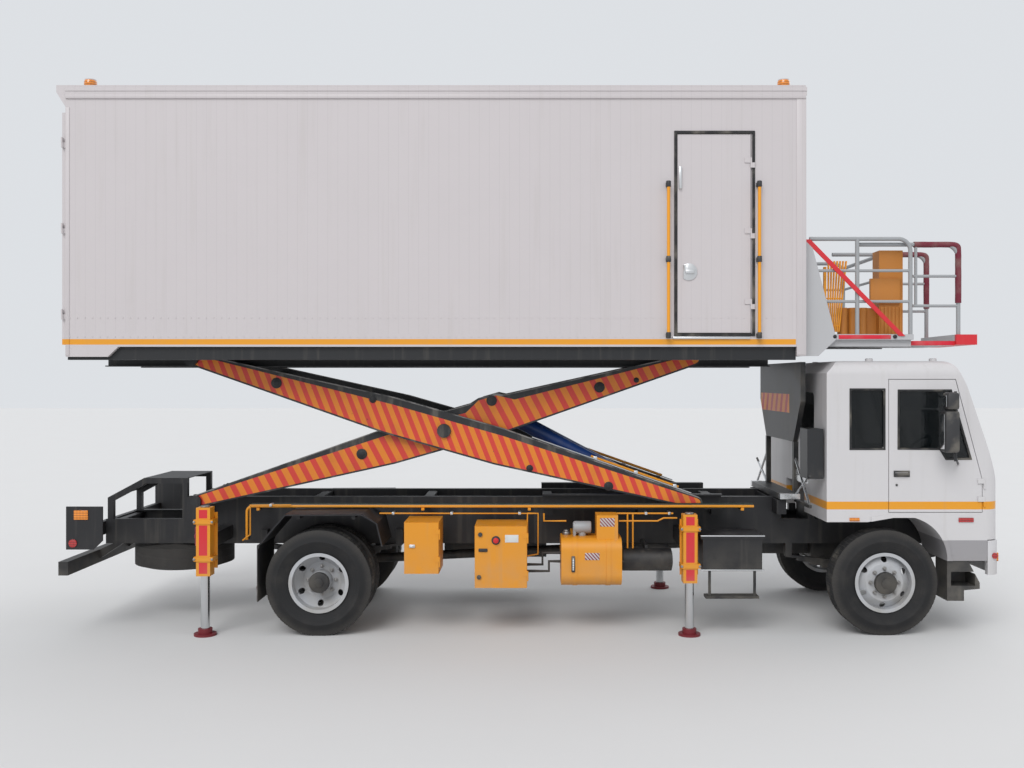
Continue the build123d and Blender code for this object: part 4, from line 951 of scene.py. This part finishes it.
def wheel_trim(name, station, disc_y, hub_y, hub_radius, body, side):
    """Nuts on washers and a domed hub cap, for one wheel."""
    nut = [drum((station, side * (disc_y + out), TYRE_R + NUT_CIRCLE), radius, length, "Y", edge, sides)
           for out, radius, length, edge, sides in NUT_PARTS]
    nuts = ring_of(join(nut), NUTS, station + REAR_AXLE)
    settle(nuts, name + "_nuts", steel, body)
    cap = drum((station, side * (hub_y - 0.010), TYRE_R), hub_radius, 0.060, "Y", 0.018, 40)
    boss = drum((station, side * (hub_y + 0.018), TYRE_R), hub_radius * 0.45, 0.020, "Y", 0.006, 24)
    settle(join([cap, boss]), name + "_hub_cap", frame_black, body)


steel = bright_metal("nut_steel", (0.34, 0.33, 0.32), 0.38, (1, 1, 1))
SIDES = ((-1, "right"), (1, "left"))
for side, word in SIDES:
    wheel_trim("front_" + word, WHEELBASE, 1.152, 1.195, 0.112, "front_wheel_" + word, side)
    wheel_trim("rear_" + word, 0.0, 1.003, 1.160, 0.104, "rear_wheels_" + word, side)
print("trim on four wheels")

# %% Tread blocks
# middle and width of each rib across the tyre
RIBS = ((-0.084, 0.036), (-0.042, 0.032), (0.0, 0.032), (0.042, 0.032), (0.084, 0.036))
BLOCK_HALF = 0.020
TREAD_SUNK = 0.010
TREAD_OUT = 0.003
DOUBLINGS = 6


def tread(name, station, middles, body):
    """Five ribs of low blocks on each tyre. One row is doubled again and again, each time
    turned by as much as the band already covers, until it goes all the way round."""
    first_row = []
    for middle in middles:
        for offset, width in RIBS:
            first_row.append(block(about(station, BLOCK_HALF), about(middle + offset, width / 2),
                                   (2 * TYRE_R - TREAD_SUNK, 2 * TYRE_R + TREAD_OUT), 0))
    band = join(first_row)
    for step in range(DOUBLINGS):
        only(band)
        bpy.ops.object.duplicate()
        bpy.ops.transform.rotate(value=2 * pi * 2 ** step / 2 ** DOUBLINGS, orient_axis="Y",
                                 center_override=(station + REAR_AXLE, 0, TYRE_R))
        band = join([band, bpy.context.object])
    settle(band, name, tread_rubber, body)


tread_rubber = matt("tread_rubber", (0.014, 0.014, 0.015), 0.75, 150, 0.35)
for side, word in SIDES:
    tread("front_tread_" + word, WHEELBASE, [side * 1.060], "front_wheel_" + word)
    tread("rear_tread_" + word, 0.0, [side * 1.080, side * 0.755], "rear_wheels_" + word)
print(2 ** DOUBLINGS, "rows of tread on six tyres")

# %% [markdown]
# ## The cab
# Glass sits in rubber, small lamps stand on the roof, and the cab's sides carry reflectors.
# The door glass is cut as one pane that follows the window opening, set in from the door's
# face, and its rubber is the same outline as a thin frame.

# %% Door glass and window rubbers
DOOR_WINDOW = (
    (5.770, 1.860), (6.180, 1.860), (6.240, 1.760), (6.500, 1.760), (6.300, 2.450), (5.770, 2.450))
SIDE_WINDOW = ((5.290, 1.860), (5.640, 1.860), (5.640, 2.460), (5.290, 2.460))
CAB_Y = 1.200
PANE_Y = 1.180
CORNER_PULL = 1.3


def grown(points, by):
    """Outline pushed outwards from its middle by about so many metres."""
    middle_x = sum(p[0] for p in points) / len(points)
    middle_z = sum(p[1] for p in points) / len(points)
    pushed = []
    for x, z in points:
        far = hypot(x - middle_x, z - middle_z)
        share = by * CORNER_PULL / far
        pushed.append((x + (x - middle_x) * share, z + (z - middle_z) * share))
    return pushed


def span(side, near, far):
    """Two distances from the middle line as depths on one side of the truck."""
    return tuple(sorted((side * near, side * far)))


for side, word in SIDES:
    leaf = f"cab_door_{word}_leaf"
    pane = plate(grown(DOOR_WINDOW, 0.004), side * PANE_Y - 0.003, 0.006, 0.001)
    settle(pane, "door_glass_" + word, glass_material, leaf)
    low, high = span(side, CAB_Y - 0.010, CAB_Y + 0.006)
    for window, name, body in ((DOOR_WINDOW, "door_glass_rubber_", leaf),
                               (SIDE_WINDOW, "side_glass_rubber_", "root")):
        bead = plate(grown(window, 0.006), low, high - low)
        settle(open_up(bead, 0.020), name + word, rubber, body)
print("door glass and rubbers on both sides")

# %% Cab lamps, reflectors, grille and wipers
CAB_SKIN = (-1.212, -1.196)
side_lamp = block((6.370, 6.520), CAB_SKIN, (1.135, 1.180), 0.006)
marker = drum((6.735, -1.196, 0.800), 0.030, 0.014, "Y", 0.004, 32)
settle(mirrored(join([side_lamp, marker])), "cab_side_reflectors", red_lens, "root")
arch_lamp = block((5.285, 5.385), CAB_SKIN, (1.145, 1.180), 0.005)
settle(mirrored(arch_lamp), "arch_marker_lamps", amber_lens, "root")

roof_lamps = copies(drum((5.560, -0.960, 2.757), 0.036, 0.026, "Z", 0.010, 28), [(0.650, 0, 0)])
settle(mirrored(roof_lamps), "roof_marker_lamps", clear_lens, "root")

HEADLAMP_SPLIT = -0.900
head = block((6.785, 6.802), (-0.974, -0.746), (0.706, 0.854), 0.006)
only(head)
edit("SELECT", "EDGE")
bpy.ops.mesh.bisect(plane_co=(0, HEADLAMP_SPLIT, 0), plane_no=(0, 1, 0))
leave_edit()
settle(mirrored(head), "headlamps", clear_lens, "root")
turn_lamp = block((6.740, 6.796), (-1.150, -1.030), (0.735, 0.825), 0.010)
settle(mirrored(turn_lamp), "front_turn_lamps", amber_lens, "root")

slats = row(block((6.786, 6.799), (-0.74, 0.74), (1.050, 1.066), 0.003), 5, (0, 0, 0.062))
settle(slats, "grille_slats", plastic, "root")
bumper_slot = block((6.770, 6.801), (-0.55, 0.55), (0.700, 0.760), 0.010)
settle(bumper_slot, "bumper_air_slot", plastic, "root")
front_plate = block((6.797, 6.806), (-0.26, 0.26), (0.800, 0.915), 0.003)
settle(front_plate, "front_blank_plate", blank_plate, "root")

# points from the wiper's foot: station, depth from the foot, height
WIPER_ARM = ((6.775, 0, 1.585), (6.700, 0.25, 1.780), (6.650, 0.42, 1.930))
WIPER_BLADE = ((6.720, 0.02, 1.745), (6.650, 0.42, 1.945), (6.600, 0.70, 2.085))
wipers = []
for foot_y in (-0.55, 0.35):
    for way, radius in ((WIPER_ARM, 0.008), (WIPER_BLADE, 0.006)):
        wipers.append(tube([(x, foot_y + y, z) for x, y, z in way], radius, False))
settle(join(wipers), "windscreen_wipers", plastic, "root")
print("lamps, grille and wipers")

# %% [markdown]
# ## Door furniture
# Each cab door has a black pull handle in a shallow cup, a lock below it and a mirror on
# two arms. The mirror's shell is a block, rounded until it looks moulded, with the bright
# glass let into its rear face.

# %% Handles and mirrors
for side, word in SIDES:
    leaf = f"cab_door_{word}_leaf"
    cup = block((5.725, 5.885), span(side, CAB_Y, CAB_Y + 0.008), (1.585, 1.648), 0.003)
    grip = block((5.732, 5.872), span(side, CAB_Y + 0.014, CAB_Y + 0.034), (1.600, 1.628), 0.009)
    lock = drum((5.755, side * (CAB_Y + 0.002), 1.505), 0.012, 0.010, "Y", 0.002, 20)
    settle(join([cup, grip, lock]), "door_handle_" + word, plastic, leaf)
    shells = blocks(((6.118, 6.264), span(side, 1.352, 1.508), (1.846, 2.252), 0.030),
                    ((6.138, 6.260), span(side, 1.362, 1.508), (2.262, 2.430), 0.028))
    settle(shells, "mirror_shells_" + word, plastic, leaf)
    faces = blocks(((6.115, 6.120), span(side, 1.384, 1.476), (1.880, 2.218), 0.001),
                   ((6.135, 6.140), span(side, 1.392, 1.478), (2.292, 2.400), 0.001))
    settle(faces, "mirror_glass_" + word, chrome, leaf)
print("handles and mirrors on both doors")

# %% [markdown]
# ## Tape and foam on the platform
# The deck edge carries a long red tape between round black bolt heads, and the extension has
# its own lower tape. Foam sleeves cover the hoops that people lean on. The sleeve follows
# the hoop's own bend.

# %% Tape, bolts and foam
DECK_SIDE = -1.1105
tape = block((5.205, 5.730), on_face(DECK_SIDE, 0.004, 0.0008), (2.962, 3.002), 0.001)
settle(tape, "deck_edge_tape", red_tape, "platform")
bolts = [drum((station, DECK_SIDE - 0.006, 2.985), 0.020, 0.018, "Y", 0.005, 24)
         for station in (5.165, 5.770)]
settle(join(bolts), "deck_edge_bolts", frame_black, "platform")
low_tape = block((5.980, 6.380), on_face(EXT_SIDE, 0.0004, 0.0008), (2.904, 2.940), 0.0002)
settle(low_tape, "extension_tape", red_tape, "extension")

SLEEVE_R = 0.030
# station and height of each point, over the bend and down the front post
SLEEVE_WAY = ((5.990, 3.920), (6.200, 3.920), (6.390, 3.920), (6.435, 3.905), (6.440, 3.860),
              (6.440, 3.600), (6.440, 3.330))


def sleeve(y):
    """Foam sleeve over one hoop, slightly uneven."""
    piece = tube([(x, y, z) for x, z in SLEEVE_WAY], SLEEVE_R)
    only(piece)
    swell = piece.modifiers.new("skin", "DISPLACE")
    cloud = bpy.data.textures.new("foam_dents", "CLOUDS")
    cloud.noise_scale = 0.08
    swell.texture = cloud
    swell.strength = 0.004
    bpy.ops.object.modifier_apply(modifier=swell.name)
    return piece


for y, word in ((-1.030, "near"), (-0.212, "far")):
    pad = settle(sleeve(y), "foam_sleeve_" + word, foam, "extension")
print("tape, bolts and two foam sleeves")

# %% [markdown]
# ## Lift details
# Black plugs close the bored holes in the arms. Their places are given in an arm's own
# directions, along it from the middle pin and across it, and turned by its slope. Two pipes
# and their clips run along the top edge of each outer arm.

# %% Plugs and pipes on the arms
def on_arm(along, across, falls):
    """Station and height of a point on an arm."""
    sine = -ARM_SIN if falls else ARM_SIN
    return (ARM_MIDDLE[0] - REAR_AXLE + along * ARM_COS - across * sine,
            ARM_MIDDLE[1] + along * sine + across * ARM_COS)


def arm_plugs(name, face_y, falls, places, body):
    """Round plugs with a low dome, on the outer faces of both arms."""
    plugs = []
    for along, across, radius in places:
        x, z = on_arm(along, across, falls)
        plugs.append(drum((x, -face_y - 0.003, z), radius, 0.014, "Y", 0.005, 28))
        plugs.append(drum((x, -face_y - 0.010, z), radius * 0.55, 0.012, "Y", 0.004, 20))
    settle(mirrored(join(plugs)), name, frame_black, body)


# along, across and radius of each plug
OUTER_PLUGS = (
    (-1.816, 0.0, 0.056), (-0.803, 0.112, 0.038), (0.966, -0.130, 0.036), (1.809, -0.085, 0.048))
INNER_PLUGS = (
    (-0.908, 0.0, 0.056), (1.690, -0.010, 0.056), (2.084, -0.045, 0.028), (0.560, 0.165, 0.055))
arm_plugs("outer_arm_plugs", OUTER_ARM_Y, True, OUTER_PLUGS, "outer_scissor")
arm_plugs("inner_arm_plugs", INNER_ARM_Y, False, INNER_PLUGS, "inner_scissor")


def arm_top(along, rise):
    """Station and height of a point above an outer arm's top edge."""
    return on_arm(along, ARM_DEEP - (along - ARM_FLAT) * ARM_SLOPE + rise, True)


# name, depth, rise, start, end, radius, finish and slot
ARM_PIPES = (
    ("arm_hose_pipes", -0.655, 0.024, 1.55, 2.52, 0.016, yellow, "yellow_paint"),
    ("arm_lubrication_pipes", -0.700, 0.012, 0.90, 2.66, 0.007, aluminium, "aluminium"),
)
for name, y, rise, start, end, radius, finish, slot in ARM_PIPES:
    ends = [(x, y, z) for x, z in (arm_top(start, rise), arm_top(end, rise))]
    settle(mirrored(tube(ends, radius, False)), name, finish, "outer_scissor")
clips = []
for along in (1.60, 2.05, 2.48):
    x, z = arm_top(along, 0.016)
    clips.append(block(about(x, 0.020), (-0.690, -0.645), (z - 0.024, z + 0.026), 0.005))
settle(mirrored(join(clips)), "arm_pipe_clips", aluminium, "outer_scissor")
print("plugs, pipes and clips on the arms")

# %% [markdown]
# ## Equipment on the chassis
# Cabinets have turn latches, a push button and a blank label. The hydraulic tank has a level
# gauge, a filler cap and a small pump, and yellow pipes run along the frame between them.

# %% Cabinet latches, button and label
DOOR_FACE = -1.210
LATCH_HALF = 0.030
WIDE_LATCH_HALF = 0.045


def turn_latch(x, z, half):
    """Escutcheon with a folding key bar."""
    shell = block(about(x, half), on_face(DOOR_FACE, 0.010), about(z, 0.017), 0.006)
    key = block(about(x, half * 0.6), (DOOR_FACE - 0.020, DOOR_FACE - 0.008), about(z, 0.006), 0.003)
    return [shell, key]


latches = turn_latch(1.640, 0.858, WIDE_LATCH_HALF)
for x, z in ((1.612, 1.013), (1.600, 0.590)):
    latches.append(drum((x, DOOR_FACE - 0.006, z), 0.022, 0.018, "Y", 0.004, 24))
settle(join(latches), "front_cabinet_latches", plastic, "cabinet_lid_front")
settle(join(turn_latch(0.935, 0.898, LATCH_HALF)), "rear_cabinet_latch", aluminium,
       "cabinet_lid_rear")
BUTTON_PLACE = (1.768, 0.956)
# name, how far out, radius, length, edge, finish and slot
BUTTON_PARTS = (
    ("stop_button_collar", 0.004, 0.044, 0.012, 0.004, plastic, "trim"),
    ("stop_button", 0.020, 0.028, 0.032, 0.010, red_paint, "orange_tape"),
)
for name, out, radius, length, edge, finish, slot in BUTTON_PARTS:
    part = drum((BUTTON_PLACE[0], DOOR_FACE - out, BUTTON_PLACE[1]), radius, length, "Y", edge, 32)
    settle(part, name, finish, "cabinet_lid_front")
label = block((1.858, 1.992), on_face(DOOR_FACE, 0.002, 0.001), (0.935, 1.010), 0.0006)
settle(label, "cabinet_blank_label", blank_plate, "cabinet_lid_front")
print("latches, a button and a label")

# %% Tank fittings and reflectors
TANK_FACE = -1.181
gauge = block((2.520, 2.556), on_face(TANK_FACE, 0.020, 0.004), (0.635, 0.795), 0.008)
settle(gauge, "tank_gauge", plastic, "root")
window = block((2.530, 2.546), (TANK_FACE - 0.023, TANK_FACE - 0.018), (0.655, 0.775), 0.002)
settle(window, "tank_gauge_glass", clear_lens, "root")
pump = [drum((2.640, -0.950, 1.050), 0.062, 0.180, "X", 0.012, 32),
        drum((2.640, -0.950, 0.985), 0.040, 0.060, "Z", 0.006, 24),
        block((2.545, 2.575), (-1.000, -0.900), (0.960, 1.100), 0.008)]
settle(join(pump), "tank_pump", grey, "root")
filler = [drum((2.480, -0.900, 0.978), 0.042, 0.044, "Z", 0.008, 32),
          drum((2.480, -0.900, 1.008), 0.030, 0.020, "Z", 0.006, 24)]
settle(join(filler), "tank_filler_cap", steel, "root")

HATCH_PITCH = 0.034
hatched = Finish("hatched_label")
hatch = ((hatched.x + hatched.z * 0.9) / HATCH_PITCH).part() > 0.55
label_dust = hatched.noise(9, 4).ramp(0.45, 0.8) * 0.5
hatched_material = hatched.show(
    hatched.mix(label_dust, hatched.mix(hatch, (0.50, 0.48, 0.47), (0.22, 0.02, 0.04)), DUST),
    label_dust * 0.3 + 0.4)
labels = blocks(((2.810, 2.955), (-1.122, -1.119), (1.080, 1.165), 0.0006),
                ((2.655, 2.800), about(TANK_FACE, 0.002), (0.755, 0.825), 0.0006))
settle(labels, "tank_labels", hatched_material, "root")

PLATE_FACE = -1.200
reflector = block((-2.430, -2.290), on_face(PLATE_FACE, 0.010, 0.001), (1.160, 1.255))
settle(mirrored(reflector), "rear_side_reflectors", amber_lens, "root")
round_red = drum((-2.440, PLATE_FACE - 0.005, 0.925), 0.042, 0.014, "Y", 0.004, 32)
settle(mirrored(round_red), "rear_round_reflectors", red_lens, "root")
print("tank fittings and reflectors")

# %% Pipes along the frame
PIPE_Y = -0.860
PIPE_Z = 1.178
REAR_PIPE_Z = 1.262
# stations and heights of each yellow pipe's points
YELLOW_ROUTES = (
    ((-0.350, REAR_PIPE_Z), (-0.770, REAR_PIPE_Z), (-0.770, 0.960), (-0.850, 0.900)),
    ((0.560, PIPE_Z), (2.080, PIPE_Z), (2.080, 0.900)),
    ((2.080, PIPE_Z), (2.190, PIPE_Z), (2.190, 0.760), (2.080, 0.740)),
    ((2.250, PIPE_Z), (2.250, 1.100), (2.480, 1.100)),
    ((3.020, 1.100), (3.420, 1.100), (3.480, 1.130), (3.620, 1.130)),
    ((2.990, PIPE_Z), (3.580, PIPE_Z)),
    ((3.110, PIPE_Z), (3.110, 0.820)),
    ((3.165, PIPE_Z), (3.165, 0.820)),
)
# depth, then stations and heights of each black pipe's points
BLACK_ROUTES = (
    (-0.900, ((2.070, 0.660), (2.235, 0.660), (2.235, 0.780), (2.430, 0.780))),
    (-0.940, ((2.070, 0.600), (2.300, 0.600), (2.300, 0.700), (2.430, 0.700))),
    (-0.960, ((3.020, 0.700), (3.070, 0.700))),
)


def pipe(route, y, radius):
    return tube([(x, y, z) for x, z in route], radius, False)


runs = [pipe(route, PIPE_Y, 0.009) for route in YELLOW_ROUTES]
settle(join(runs), "small_pipes", yellow, "root")
clips = []
for station in (-0.560, 0.700, 1.300, 2.000, 3.300, 3.540):
    height = REAR_PIPE_Z if station < 0 else PIPE_Z
    clips.append(block(about(station, 0.014), (PIPE_Y - 0.014, -0.780), about(height, 0.014), 0.003))
settle(join(clips), "small_pipe_clips", aluminium, "root")
black_runs = [pipe(route, y, 0.015) for y, route in BLACK_ROUTES]
settle(join(black_runs), "black_pipes", frame_black, "root")
VALVE_X = -1.270
valve = [drum((VALVE_X, -0.900, 0.950), 0.055, 0.200, "Z", 0.014, 28),
         drum((VALVE_X, -0.955, 0.960), 0.040, 0.060, "Y", 0.010, 24),
         block(about(VALVE_X, 0.030), (-0.930, -0.870), (1.040, 1.110), 0.010)]
settle(join(valve), "red_valve", dark_red, "root")
print(len(YELLOW_ROUTES), "yellow pipes and", len(BLACK_ROUTES), "black ones")

# %% Tail lamps and the van's shutter
TAIL_X = (-2.522, -2.499)
TAIL_Z = (0.925, 1.015)
tail_red = block(TAIL_X, (-1.000, -0.790), TAIL_Z, 0.006)
settle(mirrored(tail_red), "tail_lamps", red_lens, "root")
tail_amber = block(TAIL_X, (-1.110, -1.010), TAIL_Z, 0.006)
settle(mirrored(tail_amber), "tail_turn_lamps", amber_lens, "root")
SLAT_COUNT = 30
SLAT_STEP = 0.0675
slat = block((4.802, 4.814), (-0.745, 0.745), (2.972, 3.036), 0.005)
settle(row(slat, SLAT_COUNT, (0, 0, SLAT_STEP)), "shutter_slats", aluminium, "van")
print("tail lamps and a slatted shutter")

# %% Battery box, air tank and stabiliser fittings
BOX_EDGES_Z = ((0.992, 1.004), (0.652, 0.664))
edges = blocks(*[((3.806, 4.444), (-1.206, -1.196), heights, 0.002) for heights in BOX_EDGES_Z])
settle(edges, "battery_box_edges", aluminium, "root")
ends = [drum((station, y, 0.700), 0.098, 0.020, "X", 0.009, 32)
        for y in (-0.560, -0.830) for station in (3.062, 3.558)]
settle(join(ends), "air_tank_ends", frame_black, "root")
bolt_heads = []
caps = []
for station, low, high in STABILISERS:
    for z in (low + LOW_CLAMP, high - HIGH_CLAMP):
        for x in (station - 0.086, station + 0.092):
            bolt_heads.append(drum((x, -1.236, z), 0.014, 0.012, "Y", 0.003, 6))
    caps.append(drum((station, -1.150, high + 0.006), 0.046, 0.016, "Z", 0.005, 28))
settle(mirrored(join(bolt_heads)), "stabiliser_bolts", steel, "root")
settle(mirrored(join(caps)), "stabiliser_caps", steel, "root")
print("battery box, air tank and stabiliser fittings")

# %% [markdown]
# ## Floor and light
# The floor is plain and pale. A wide soft lamp high on the camera's side, a weaker one behind
# and an even sky give a light in which a colour looks about as it is written.

# %% Floor, sky and lamps
bpy.ops.object.select_all(action="DESELECT")
bpy.ops.mesh.primitive_plane_add(size=160, location=(0, 0, 0))
floor = bpy.context.object
floor.name = "floor"
floor_finish = Finish("pale_floor")
floor.data.materials.append(floor_finish.show(
    floor_finish.mix(floor_finish.noise(0.8, 3) * 0.3, (0.66, 0.655, 0.65), (0.60, 0.595, 0.59)),
    floor_finish.noise(4) * 0.1 + 0.8))

world = bpy.data.worlds.new("soft_sky")
world.use_nodes = True
bpy.context.scene.world = world
sky = world.node_tree.nodes["Background"]
sky.inputs["Color"].default_value = (0.93, 0.96, 1.0, 1)
sky.inputs["Strength"].default_value = 0.78

# direction the light comes from, strength, angle in degrees
SUNS = (((-3.0, -8.0, 7.5), 1.55, 35), ((6.0, 7.0, 8.0), 0.45, 60))
for place, strength, spread in SUNS:
    bpy.ops.object.select_all(action="DESELECT")
    bpy.ops.object.light_add(type="SUN", location=place)
    lamp = bpy.context.object
    lamp.data.energy = strength
    lamp.data.angle = radians(spread)
    lamp.rotation_euler = (-Vector(place)).to_track_quat("-Z", "Y").to_euler()
print(len(SUNS), "soft lamps and an even sky")
